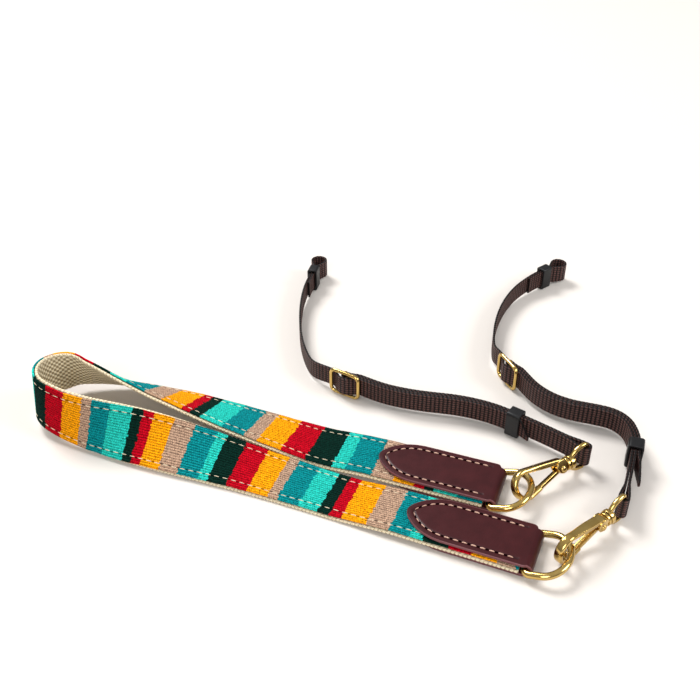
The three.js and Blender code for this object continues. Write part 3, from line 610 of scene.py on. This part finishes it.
# Burgundy leather, dyed through and waxed: a satin shine on a fine pebbled
# grain, paler where the knife has cut it, and painted darker in the seam's groove
# as shade. The grain is drawn coarser than it is, so that it shows.
hide, tree, surface = new_finish("waxed_leather")
place = node(tree, "TexCoord").outputs["Object"]
mark = node(tree, "Attribute", attribute_name="mark").outputs["Fac"]
cloud = node(tree, "TexNoise", {"Vector": place, "Scale": 1000 / HIDE_CLOUD, "Detail": 4})
grain = node(tree, "TexVoronoi", {"Vector": place, "Scale": 1000 / HIDE_GRAIN})
tone = node(tree, "MixRGB", {0: cloud, 1: linear("#28080b"), 2: linear("#3f0f13")})
cut = node(tree, "Math", {0: mark, 1: 0.85}, operation="MULTIPLY", use_clamp=True)
tone = node(tree, "MixRGB", {0: cut, 1: tone, 2: linear("#74474a")})
# Painted shade: the seam's groove is darkened towards near black.
hollow = node(tree, "Math", {0: mark, 1: -0.7}, operation="MULTIPLY", use_clamp=True)
tone = node(tree, "MixRGB", {0: hollow, 1: tone, 2: linear("#110507")})
shine = node(tree, "MapRange", {0: cloud, 3: 0.28, 4: 0.42})
relief = node(tree, "Bump", {"Height": grain, "Strength": 0.25, "Distance": 0.00012})
feed(tree, surface, {"Base Color": tone, "Roughness": shine, "Specular IOR Level": 0.24,
                     "Normal": relief})

# The saddle stitch is linen thread in dusty pink: dull, and lighter along its
# twist. The awl's holes between the stitches are drawn as small pads of painted
# shade, flecked a little lighter by frayed fibres, without any shine.
linen = flecked_finish("linen_thread", LINEN_TWIST, "#93695a", "#e0b7a0", 0.6)
hole_shade = flecked_finish("awl_hole_shade", HOLE_SHADE_FRAY, "#060202", "#1c0a0b", 1, 0)

tab_grid, tab_run, tab_mark = tab_shell()
edge_x = np.linspace(-TAB_LENGTH, -3, 2000)
edge = np.stack([edge_x, half_width(edge_x)], -1)
inward = unit(np.stack([np.gradient(edge[:, 1]), -np.gradient(edge[:, 0])], -1))
seam_line = edge + SEAM_INSET * inward
apart = np.linalg.norm(seam_line[:, None, :] - edge[None, ::10], axis=-1).min(1)
clear = apart > SEAM_INSET - 0.02
seam_line = seam_line[clear & (seam_line[:, 1] > 0)]
seam_run = np.r_[0, np.cumsum(np.linalg.norm(np.diff(seam_line, axis=0), axis=1))]


def seam_place(sign, level):
    """Points along the seam, aside from it and above the leather."""
    def at(d, aside, rise):
        x = np.interp(d, seam_run, seam_line[:, 0])
        y = np.interp(d, seam_run, seam_line[:, 1]) + aside
        return np.stack([x, sign * y, level + np.sign(level) * rise + 0 * x], -1)
    return at


for name, (origin, outward, left) in bars.items():
    settle = axes_at(origin, outward, left)
    make(f"{name}_tab_leather", [shell(settle(tab_grid), u=tab_run, mark=tab_mark)],
         hide, "strap", f"{name}_tab")
    threads, hole_shade_pads = [], []
    spots = np.arange(1.6, seam_run[-1], SEAM_PITCH)
    for sign in (-1, 1):
        for level in (-1, 1):
            top = FOLD_INSIDE / 2 + LEATHER
            at = seam_place(sign, level * (top - 0.12))
            threads += [shell(settle(stitch_grid(at, s, SEAM_STITCH, SEAM_THREAD))) for s in spots]
            at = seam_place(sign, level * (top - 0.24))
            between_spots = spots[:-1] + SEAM_PITCH / 2
            hole_shade_pads += [shell(settle(stitch_grid(at, s, AWL_HOLE, AWL_HOLE_WIDTH)))
                      for s in between_spots]
    # Pads of painted shade where the awl's holes are.
    make(f"{name}_tab_awl_hole_shade", hole_shade_pads, hole_shade, "strap", None)
    make(f"{name}_tab_stitches", threads, linen, "strap", None)

# The D-rings.
# Brass wire bent to a D and brazed, polished and lacquered, its straight bar in
# the fold of the leather.
RING_WIRE = 3
RING_INSIDE = 20
RING_DEPTH = 15.7
RING_CORNER = 2.4
RING_BOW = 0.58  # share of the depth that the bow takes
RING_RISE = {"near": 13, "far": 16}  # degrees above the table
POLISH_MARK = 0.385  # width of a polishing mark
BRASS_CLOUD = 3.85  # width of a tone in the lacquer


def arc(x, y, rx, ry, start, end, steps):
    """Points of an ellipse's arc between two angles in degrees."""
    angle = np.radians(np.linspace(start, end, steps + 1))
    return np.stack([x + rx * np.cos(angle), y + ry * np.sin(angle)], -1)


def swept(path, section, closed=False):
    """A section carried along a flat path: its first number goes to the left of
    the path, its second square to the path's plane."""
    if closed:
        run = np.roll(path, -1, axis=0) - np.roll(path, 1, axis=0)
    else:
        run = np.gradient(path, axis=0)
    run = unit(run)
    left = np.stack([-run[:, 1], run[:, 0]], -1)
    flat = path[:, None] + left[:, None] * section[..., :1]
    return np.concatenate([flat, np.broadcast_to(section[..., 1:], (*flat.shape[:2], 1))], -1)


def circle(radius, sides=20):
    """Points round a circle: the radius times the cosine and sine of even angles."""
    angle = 2 * np.pi * np.arange(sides) / sides
    return radius * np.stack([np.cos(angle), np.sin(angle)], -1)


ring_half = (RING_INSIDE + RING_WIRE) / 2
ring_bow = RING_DEPTH * RING_BOW
ring_path = np.vstack([
    np.stack([np.zeros(20), np.linspace(ring_half - RING_CORNER, RING_CORNER - ring_half, 22)[1:-1]], -1),
    arc(RING_CORNER, RING_CORNER - ring_half, RING_CORNER, RING_CORNER, 180, 270, 12),
    arc(RING_DEPTH - ring_bow, 0, ring_bow, ring_half, -90, 90, 60),
    arc(RING_CORNER, ring_half - RING_CORNER, RING_CORNER, RING_CORNER, 90, 180, 12),
])
ring_grid = swept(ring_path, circle(RING_WIRE / 2, 24), closed=True)

# Polished yellow brass: a clear, warm mirror with faint polishing marks, drawn
# coarser than they are, so that they show.
brass, tree, surface = new_finish("polished_brass")
place = node(tree, "TexCoord").outputs["Object"]
cloud = node(tree, "TexNoise", {"Vector": place, "Scale": 1000 / BRASS_CLOUD, "Detail": 3})
marks = node(tree, "TexNoise", {"Vector": place, "Scale": 1000 / POLISH_MARK, "Detail": 2})
tone = node(tree, "MixRGB", {0: cloud, 1: linear("#b49148"), 2: linear("#e0c27c")})
shine = node(tree, "MapRange", {0: cloud, 3: 0.12, 4: 0.2})
relief = node(tree, "Bump", {"Height": marks, "Strength": 0.05, "Distance": 0.00003})
feed(tree, surface, {"Base Color": tone, "Metallic": 1, "Roughness": shine, "Normal": relief})

for name, (origin, outward, left) in bars.items():
    rise = np.radians(RING_RISE[name])
    tipped = outward * np.cos(rise) + LEVEL * np.sin(rise)
    settle = axes_at(origin - left * RING_SHIFT, tipped, left)
    make(f"{name}_ring_brass", [shell(settle(ring_grid), ring=True)], brass, "strap",
         f"{name}_ring")

# The snap hooks and their levers.
# A brass strip bent to a teardrop round the ring, riveted to a boss that turns
# on a post, and closed by a sprung lever on the same rivet.
HOOK_WIDTH = 5
HOOK_STRIP = 2.3
CURL_INSIDE = 4.6
HOOK_LENGTH = 19.5
ARM_RISE = 2.7
TIP_LENGTH = 5
GATE_WIDTH = 2.6
GATE_THICKNESS = 1.8
GATE_DROP = 0.6
HUB = 1.8
BOSS = 3.1
POST = 1.2
COLLAR = 3
COLLAR_THICKNESS = 1.1
HEAD = 2
RIVET_HEAD = 1.55
RIVET_DOME = 0.75
EYE_WIRE = 2.2
EYE_INSIDE = 10.6
EYE_DEPTH = 9.2
EYE_CORNER = 1.8
BUSH = 3.2
GAP = 0.3
CURL = CURL_INSIDE + HOOK_STRIP / 2
EYE_BASE = HOOK_LENGTH + BOSS + COLLAR_THICKNESS + GAP + EYE_WIRE / 2
EYE_BAR = EYE_BASE + EYE_DEPTH
EYE_HEIGHT = EYE_INSIDE / 2 + EYE_WIRE + 0.2
HOOKS = {
    "near": {"heading": 40, "tilt": 90, "beyond": 13.3, "beside": 3.4},
    "far": {"heading": 33, "tilt": 60, "beyond": 12.3, "beside": 1.9},
}


def rounded_box(half_x, half_y, radius, steps=4, sides=0):
    """A rectangle's outline, anticlockwise: a quarter circle round each corner, and
    on each side along y as many more points as sides says, evenly spaced."""
    rows = []
    for x, y, start in ((1, -1, -90), (1, 1, 0), (-1, 1, 90), (-1, -1, 180)):
        rows.append(arc(x * (half_x - radius), y * (half_y - radius), radius, radius,
                        start, start + 90, steps))
        if x != y:
            up = x * (half_y - radius) * np.linspace(-1, 1, sides + 2)[1:-1]
            rows.append(np.stack([np.full(sides, x * half_x), up], -1))
    return np.vstack(rows)


def turned(profile, sides=32):
    """A profile of place along x and radius, turned round the x axis: the radius
    times the cosine and sine of even angles."""
    angle = 2 * np.pi * np.arange(sides) / sides
    x, r = profile[:, :1], profile[:, 1:]
    return np.stack([x + 0 * angle, r * np.cos(angle), r * np.sin(angle)], -1)


def disc(radius, length, round_off, sides=32):
    """A short rod about the x axis, its rims rounded by quarter circles."""
    turn = np.radians(np.linspace(0, 90, 5))
    x = length / 2 - round_off + round_off * np.sin(turn)
    r = radius - round_off + round_off * np.cos(turn)
    return turned(np.r_[np.stack([-x[::-1], r[::-1]], -1), np.stack([x, r], -1)], sides)


def stood(grid, x, y, z=0.0):
    """A piece turned from the x axis to the z axis and moved."""
    return np.stack([grid[..., 1] + x, grid[..., 2] + y, grid[..., 0] + z], -1)


def touch(point, sign):
    """The angle on the curl at which a line from a point just touches it: the
    point's own angle and the arccosine of the curl's radius over its distance."""
    return np.degrees(np.arctan2(point[1], point[0]) + sign * np.arccos(CURL / np.hypot(*point)))


arm_end = np.array([HOOK_LENGTH, ARM_RISE])
rivet = np.array([HOOK_LENGTH, -GATE_DROP])
foot_angle = np.radians(touch(rivet, -1))
gate_foot = CURL * np.array([np.cos(foot_angle), np.sin(foot_angle)])
gate_run = unit(rivet - gate_foot)


def hook_shells():
    """The strip along its arm, curl and tip, the boss with its two cheeks and
    rivet, and the collar, post and knob turned about the swivel's axis. The
    strip is a little slimmer than the boss, and its section goes by shares from
    nearly square on the arm to round edged on the curl."""
    curl = arc(0, 0, CURL, CURL, touch(arm_end, 1), 360 + touch(rivet, -1), 60)
    arm = arm_end + (curl[0] - arm_end) * np.linspace(0, 1, 25)[:-1, None]
    tip = gate_foot + gate_run * np.linspace(0, TIP_LENGTH, 8)[1:, None]
    flat = rounded_box(HOOK_STRIP / 2, HOOK_WIDTH / 2 - 0.5, 0.5)
    soft = rounded_box(HOOK_STRIP / 2, HOOK_WIDTH / 2 - 0.6, 1.1)
    place = np.r_[np.linspace(0, 1, 24), np.ones(len(curl) + 7)][:, None, None]
    bent = ease((place - 0.5) / 0.5)
    shells = [shell(swept(np.vstack([arm, curl, tip]), flat * (1 - bent) + soft * bent))]

    cheek = HOOK_WIDTH / 2 - GATE_WIDTH / 2 - GAP
    dome = np.radians(np.linspace(0, 88, 6))
    cap = turned(np.stack([RIVET_DOME * np.sin(dome), RIVET_HEAD * np.cos(dome)], -1))
    for side in (-1, 1):
        level = side * (HOOK_WIDTH / 2 - cheek / 2)
        shells.append(shell(stood(disc(BOSS, cheek, 0.3), HOOK_LENGTH, ARM_RISE / 5, level)))
        shells.append(shell(stood(cap * [side, 1, 1], *rivet, side * (HOOK_WIDTH / 2 - 0.05))))
    shells.append(shell(stood(disc(0.9, HOOK_WIDTH - 0.4, 0.1), *rivet)))

    neck = HOOK_LENGTH + BOSS
    bridge_start = HOOK_LENGTH + HUB + GAP
    bridge = rounded_box((neck - bridge_start) / 2 + 0.1, 2.0, 0.3) + [(neck + bridge_start) / 2, 0]
    shells.append(shell(np.stack([np.insert(bridge, 2, z, axis=1) for z in (-1.7, 1.7)])))
    collar = disc(COLLAR, COLLAR_THICKNESS + GAP, 0.35)
    shells.append(shell(collar + [neck + (COLLAR_THICKNESS - GAP) / 2, 0, 0]))
    head = EYE_BASE + EYE_WIRE / 2 + GAP
    shells.append(shell(turned(np.array([(neck, POST), (head + 0.4, POST)]))))
    ball = np.radians(np.linspace(-88, 88, 14))
    knob_x = head + COLLAR_THICKNESS / 2 * (1 + np.sin(ball))
    shells.append(shell(turned(np.stack([knob_x, HEAD * np.cos(ball)**0.6], -1))))
    return shells


def gate_shells():
    """The lever's strip, a rounded box carried from the hook's tip to the rivet,
    and its hub, a disc about the rivet."""
    steps = np.linspace(TIP_LENGTH + GAP, np.hypot(*(rivet - gate_foot)), 20)[:, None]
    lever = swept(gate_foot + gate_run * steps, rounded_box(GATE_THICKNESS / 2, GATE_WIDTH / 2, 0.45))
    return [shell(lever), shell(stood(disc(HUB, GATE_WIDTH, 0.25), *rivet))]


def eye_shells():
    """The swivel's D, a round section carried along a straight bar, two quarter
    circles and half an ellipse, and its bush, a rounded box turned about x."""
    half, bow = (EYE_INSIDE + EYE_WIRE) / 2, EYE_DEPTH - EYE_CORNER
    start = EYE_BAR - EYE_CORNER
    path = np.vstack([
        arc(start, EYE_CORNER - half, EYE_CORNER, EYE_CORNER, -90, 0, 10),
        np.stack([np.full(14, EYE_BAR), np.linspace(EYE_CORNER - half, half - EYE_CORNER, 16)[1:-1]], -1),
        arc(start, half - EYE_CORNER, EYE_CORNER, EYE_CORNER, 0, 90, 10),
        arc(start, 0, bow, half, 90, 270, 60)[1:-1],
    ])
    wire = swept(path, circle(EYE_WIRE / 2), closed=True)
    wall = rounded_box(EYE_WIRE / 2, (BUSH - POST - GAP) / 2, 0.3) + [EYE_BASE, (BUSH + POST + GAP) / 2]
    return [shell(wire, ring=True), shell(turned(wall).transpose(1, 0, 2), ring=True)]


hook_places = {}
for name, row in HOOKS.items():
    origin, outward, left = bars[name]
    tilt, heading = np.radians(row["tilt"]), np.radians(row["heading"])
    height = (CURL_INSIDE + HOOK_STRIP) * np.sin(tilt) + HOOK_WIDTH / 2 * np.cos(tilt) + 0.2
    pitch = np.arcsin((EYE_HEIGHT - height) / EYE_BAR)
    axis = np.array([np.cos(heading) * np.cos(pitch), np.sin(heading) * np.cos(pitch), np.sin(pitch)])
    beside = unit(np.cross(LEVEL, axis))
    upright = np.cross(axis, beside)
    curl = origin + outward * row["beyond"] + left * row["beside"]
    curl[2] = height
    hook_places[name] = (curl, axis)
    tilted = beside * np.cos(tilt) + upright * np.sin(tilt)
    for kind, shells, side, body in (("hook", hook_shells(), tilted, f"{name}_hook"),
                                     ("gate", gate_shells(), tilted, f"{name}_gate"),
                                     ("eye", eye_shells(), upright, "strap")):
        settle = axes_at(curl, axis, side)
        settled = [(settle(points), *rest) for points, *rest in shells]
        make(f"{name}_{kind}_brass", settled, brass, body, f"{name}_{kind}")

# The webbing.
# Narrow nylon webbing in dark brown, cut from the roll and standing on its edge.
# Each end has one run to its end loop and back, and one doubled run to the hook.
WEBBING_WIDTH = 10
WEBBING_THICKNESS = 1.1
WEBBING_EDGE = 0.5
WEBBING_RIB = 1.95  # between ribs
WEBBING_FLOAT = 1.25  # length of a yarn float on a rib
WEBBING_CUT = 7  # run of the slanted cut
YARN_FLECK = 0.385  # width of a tone in the yarn
PLY = WEBBING_THICKNESS + GAP
SLIDE_WIRE = 1.8
SLIDE_LENGTH = 17
SLIDE_SETBACK = 1.2
SLIDE_CLEAR = 1.36  # from the rim's middle to where the plies lie apart again
KEEPER_LENGTH = 6.5
KEEPER_RUN = 35  # from the hook's eye to its keeper
PARTED = 11  # run over which the plies part to go round the eye
LUG_LOOP_WIDTH = 9
LUG_LOOP_LENGTH = 13
LUG_TAIL = 10
EYE_WRAP = EYE_WIRE / 2 + GAP + WEBBING_THICKNESS / 2
SLIDE_WRAP = SLIDE_WIRE / 2 + GAP + WEBBING_THICKNESS / 2
SLIDE_PLANE = PLY + SLIDE_WRAP
SLIDE_REACH = (SLIDE_LENGTH - SLIDE_WIRE) / 2
HUMP_HEIGHT = SLIDE_PLANE - SLIDE_SETBACK + SLIDE_WRAP
HUMP_REACH = SLIDE_REACH - GAP

# Share of the length, heading, and middle height as a share of the width.
ENDS = {
    "near": {
        "side": "right", "looped": False, "hook_run": 118, "lug_run": 100, "tail": 16, "swing": -3,
        "rows": np.array([
            (0.0, 67, 0.77), (0.16, 72, 0.73), (0.19, 86, 0.73), (0.222, 98, 0.73),
            (0.252, 124, 0.73), (0.3, 160, 0.73), (0.335, 163, 0.73), (0.38, 150, 0.73),
            (0.43, 130, 0.73), (0.485, 113, 0.73), (0.59, 113, 0.73), (0.63, 86, 0.6),
            (0.72, 76, 0.53), (0.84, 62, 0.53), (0.92, 46, 0.6), (0.98, 38, 0.67), (1.0, 38, 0.67)]),
    },
    "far": {
        "side": "left", "looped": True, "hook_run": 118, "lug_run": 105, "tail": 9, "swing": 1.5,
        "rows": np.array([
            (0.0, 138, 0.77), (0.16, 144, 0.73), (0.25, 160, 0.73), (0.32, 170, 0.73),
            (0.41, 161, 0.73), (0.48, 148, 0.73), (0.58, 148, 0.73), (0.64, 110, 0.58),
            (0.75, 96, 0.53), (0.86, 88, 0.56), (0.95, 78, 0.67), (1.0, 76, 0.67)]),
    },
}


def run_to(start, end, aside):
    """Distances from start to end every 0.4 mm, with their place aside."""
    d = np.linspace(start, end, max(2, round(abs(end - start) / 0.4)), endpoint=False)
    return np.stack([d, np.broadcast_to(aside(d), d.shape)], -1)


def plies(end):
    """The webbing's runs as distance along their line and place to its left: the
    run that turns back in its end loop and goes over the slide's middle bar, and
    the one that turns round that bar, goes out to the hook's eye and back. Over
    the bar a run rises by a cosine hump, and at the eye the plies ease apart."""
    slide, lug = end["hook_run"], end["hook_run"] + end["lug_run"]
    ahead, beyond = slide - SLIDE_REACH - SLIDE_CLEAR, slide + SLIDE_REACH + SLIDE_CLEAR

    def hump(d):
        return (1 + np.cos(np.pi * np.clip(np.abs(d - slide) / HUMP_REACH, 0, 1))) / 2

    eye_aside = (-1 if end["looped"] else 1) * PLY / 2

    def parted(rest, side):
        near = eye_aside + side * EYE_WRAP
        return lambda d: near + (rest - near) * ease(d / PARTED)

    loop_start = lug + KEEPER_LENGTH / 2 + 2 * GAP
    loop_middle = lug + KEEPER_LENGTH / 2 + LUG_LOOP_LENGTH - LUG_LOOP_WIDTH / 2
    loop_radius = (LUG_LOOP_WIDTH - WEBBING_THICKNESS) / 2

    def opened(rest, side):
        wide = PLY / 2 + side * loop_radius
        return lambda d: rest + (wide - rest) * ease((d - loop_start) / (loop_middle - loop_start))

    over = run_to(beyond, ahead, lambda d: HUMP_HEIGHT * hump(d))
    slope = HUMP_HEIGHT * (hump(over[:, 0] + GAP) - hump(over[:, 0] - GAP)) / (2 * GAP)
    over += PLY * np.stack([-slope, np.ones(len(slope))], -1) / np.hypot(1, slope)[:, None]
    from_lug = [
        run_to(lug - KEEPER_LENGTH / 2 - LUG_TAIL, loop_start, lambda d: 0),
        run_to(loop_start, loop_middle, opened(0, -1)),
        arc(loop_middle, PLY / 2, loop_radius, loop_radius, -90, 90, 30),
        run_to(loop_middle, loop_start, opened(PLY, 1))[1:],
        run_to(loop_start, beyond, lambda d: PLY),
        over,
    ]
    rising = [
        run_to(0, PARTED, parted(0, 1 if end["looped"] else -1))[1:],
        run_to(PARTED, ahead, lambda d: 0),
        run_to(ahead, slide, lambda d: HUMP_HEIGHT * hump(d)),
        arc(slide, SLIDE_PLANE - SLIDE_SETBACK, SLIDE_WRAP, SLIDE_WRAP, 90, -90, 16),
        run_to(slide, ahead, lambda d: -PLY + (HUMP_HEIGHT - 2 * SLIDE_WRAP + PLY) * hump(d))[1:],
    ]
    tail_end = KEEPER_RUN - end["tail"]

    def tail(rest):
        return run_to(KEEPER_RUN, tail_end - 0.01,
                      lambda d: rest + end["swing"] * ease((KEEPER_RUN - d) / end["tail"] - 0.2))

    if end["looped"]:
        loop = [
            arc(0, eye_aside, EYE_WRAP, EYE_WRAP, 270, 90, 24), *rising,
            run_to(ahead, PARTED, lambda d: -PLY), run_to(PARTED, 0, parted(-PLY, -1)),
        ]
        single = [*from_lug, run_to(ahead, KEEPER_RUN, lambda d: PLY), tail(PLY)]
        return eye_aside, np.vstack(single), np.vstack(loop)
    single = [
        *from_lug, run_to(ahead, PARTED, lambda d: PLY), run_to(PARTED, 0, parted(PLY, 1)),
        arc(0, eye_aside, EYE_WRAP, EYE_WRAP, 90, 270, 24), *rising,
        run_to(ahead, KEEPER_RUN, lambda d: -PLY), tail(-PLY),
    ]
    return eye_aside, np.vstack(single), None


def ribbon_shell(line, rows, run, closed=False):
    """Webbing along a run: the run's points spaced evenly, and at each an upright
    flat section with round selvages, a little thinner between its ribs. The last
    end is cut on a slant, its top lower by the distance past the cut's start."""
    plan = line.place(run[:, 0], run[:, 1])
    height = between(rows[:, 0], rows[:, 2], run[:, 0]) * WEBBING_WIDTH
    points = np.concatenate([plan, height[:, None]], -1)
    if closed:
        points = np.vstack([points, points[:1]])
    length = np.r_[0, np.cumsum(np.linalg.norm(np.diff(points, axis=0), axis=1))]
    steps = round(length[-1] / 0.39)
    even = np.linspace(0, length[-1], steps, endpoint=not closed)
    points = np.stack([np.interp(even, length, points[:, k]) for k in range(3)], -1)
    if closed:
        forward = np.roll(points, -2, axis=0) - np.roll(points, 2, axis=0)
    else:
        forward = np.gradient(points, axis=0)
    left = unit(np.cross(LEVEL, forward))
    section = rounded_box(WEBBING_THICKNESS / 2, WEBBING_WIDTH / 2, WEBBING_EDGE, 4, 20)
    flat = np.abs(section[:, 1]) < WEBBING_WIDTH / 2 - 0.4
    hollow = 1 - np.abs(np.sin(np.pi * even[:, None] / WEBBING_RIB))
    aside = section[:, 0] * (1 - 0.2 * hollow * flat)
    rise = section[:, 1] * (1 - 0.025 * hollow * ~flat)
    if not closed:
        past = np.clip((even - length[-1] + WEBBING_CUT) / WEBBING_CUT, 0, 1)[:, None]
        rise = np.minimum(rise, WEBBING_WIDTH * (0.5 - 0.8 * past) + 0.1 * rise)
    grid = points[:, None] + left[:, None] * aside[..., None] + LEVEL * rise[..., None]
    step = length[-1] / (steps if closed else steps - 1)
    return shell(grid, ring=closed, u=np.arange(steps + 1) * step,
                 v=np.r_[section[:, 1], section[0, 1]])


# Nylon webbing: dark brown filament yarn with a dry shine, in chains of small
# floats across and along, painted brighter where they stand up and black in the
# gaps, as painted highlight and shade. The tones in the yarn are drawn coarser
# than they are, so that they show.
nylon, tree, surface = new_finish("nylon_webbing")
place = node(tree, "UVMap", uv_map="pattern")
pair = node(tree, "SeparateXYZ", {0: place})
floats = node(tree, "MapRange", {0: ridges(tree, pair.outputs[1], WEBBING_FLOAT), 3: 0.15})
ribs = node(tree, "MapRange", {0: ridges(tree, pair.outputs[0], WEBBING_RIB), 3: 0.2})
weave = node(tree, "Math", {0: floats, 1: ribs}, operation="MULTIPLY")
flecks = node(tree, "TexNoise", {"Vector": place, "Scale": 1000 / YARN_FLECK, "Detail": 2})
light = node(tree, "Math", {0: weave, 1: flecks}, operation="MULTIPLY")
light = node(tree, "MapRange", {0: light, 1: 0.15, 2: 0.5})
# Painted highlight and shade: the floats' tops are painted lighter and the gaps near black.
tone = node(tree, "MixRGB", {0: light, 1: linear("#050202"), 2: linear("#6b4943")})
relief = node(tree, "Bump", {"Height": weave, "Strength": 1.0, "Distance": 0.0006})
feed(tree, surface, {"Base Color": tone, "Roughness": 0.5, "Specular IOR Level": 0.2,
                     "Normal": relief})

webbing_lines = {}
for name, end in ENDS.items():
    curl, axis = hook_places[name]
    rows = end["rows"] * [end["hook_run"] + end["lug_run"], 1, 1]
    eye_aside, single, loop = plies(end)
    heading = np.radians(rows[0, 1])
    start = (curl + axis * EYE_BAR)[:2] + eye_aside * np.array([np.sin(heading), -np.cos(heading)])
    line = TableLine(start, rows[:, 0], rows[:, 1])
    webbing_lines[name] = (line, rows)
    if end["looped"]:
        runs = [("lug_webbing", single, False), ("hook_webbing", loop, True)]
    else:
        runs = [("webbing", single, False)]
    for kind, run, closed in runs:
        stands_for = f"{end['side']}_{kind}"
        make(f"{stands_for}_nylon", [ribbon_shell(line, rows, run, closed)], nylon, "strap",
             stands_for)


def webbing_place(name, d, aside):
    """A place at the middle height of one end's webbing, and its heading there."""
    line, rows = webbing_lines[name]
    d = np.array(float(d))
    height = between(rows[:, 0], rows[:, 2], d) * WEBBING_WIDTH
    return np.r_[line.place(d, aside), height], np.r_[line.along(d), 0.0]


# The slides.
# Each is a rim of polished brass wire, bent and brazed, with a middle bar set back
# from it. The webbing goes over the bar and is held by its own pull.
SLIDE_CORNER = 2.4

for name, end in ENDS.items():
    settle = axes_at(*webbing_place(name, end["hook_run"], SLIDE_PLANE), LEVEL)
    half = (WEBBING_WIDTH + SLIDE_WIRE) / 2 + GAP
    rim = swept(rounded_box(SLIDE_REACH, half, SLIDE_CORNER, 10, 16), circle(SLIDE_WIRE / 2), closed=True)
    bar = turned(np.array([(-half, SLIDE_WIRE / 2), (half, SLIDE_WIRE / 2)]), 20)
    bar = np.stack([bar[..., 1], bar[..., 0], bar[..., 2] + SLIDE_SETBACK], -1)
    make(f"{end['side']}_slide_brass", [shell(settle(rim), ring=True), shell(settle(bar))], brass,
         "strap", f"{end['side']}_slide")

# The keepers.
# Each is a moulded plastic sleeve that holds the plies together: three of them
# beside the hook, and two beside the end loop.
KEEPER_WALL = 1.2
MOULD_GRAIN = 1.11  # width of a patch of the mould's grain

# Moulded acetal: black, with a satin shine that the mould leaves slightly uneven.
# The grain is drawn coarser than it is, so that it shows.
keeper_plastic, tree, surface = new_finish("moulded_acetal")
place = node(tree, "TexCoord").outputs["Object"]
cloud = node(tree, "TexNoise", {"Vector": place, "Scale": 1000 / MOULD_GRAIN, "Detail": 3})
shine = node(tree, "MapRange", {0: cloud, 3: 0.3, 4: 0.5})
relief = node(tree, "Bump", {"Height": cloud, "Strength": 0.2, "Distance": 0.0001})
tone = node(tree, "MixRGB", {0: cloud, 1: linear("#09090b"), 2: linear("#141416")})
feed(tree, surface, {"Base Color": tone, "Roughness": shine, "Specular IOR Level": 0.3,
                     "Normal": relief})

for name, end in ENDS.items():
    for kind, at, aside, count in (("hook_keeper", KEEPER_RUN, 0, 3),
                                   ("lug_keeper", end["hook_run"] + end["lug_run"], PLY / 2, 2)):
        spot, heading = webbing_place(name, at, aside)
        settle = axes_at(spot, np.cross(LEVEL, heading), LEVEL)
        half_x = (count * WEBBING_THICKNESS + (count + 1) * GAP + KEEPER_WALL) / 2
        half_y = WEBBING_WIDTH / 2 + GAP + KEEPER_WALL / 2
        wall = rounded_box(KEEPER_WALL / 2, KEEPER_LENGTH / 2, 0.35)
        sleeve = swept(rounded_box(half_x, half_y, 0.7, 6, 8), wall, closed=True)
        stands_for = f"{end['side']}_{kind}"
        make(f"{stands_for}_plastic", [shell(settle(sleeve), ring=True)], keeper_plastic, "strap",
             stands_for)
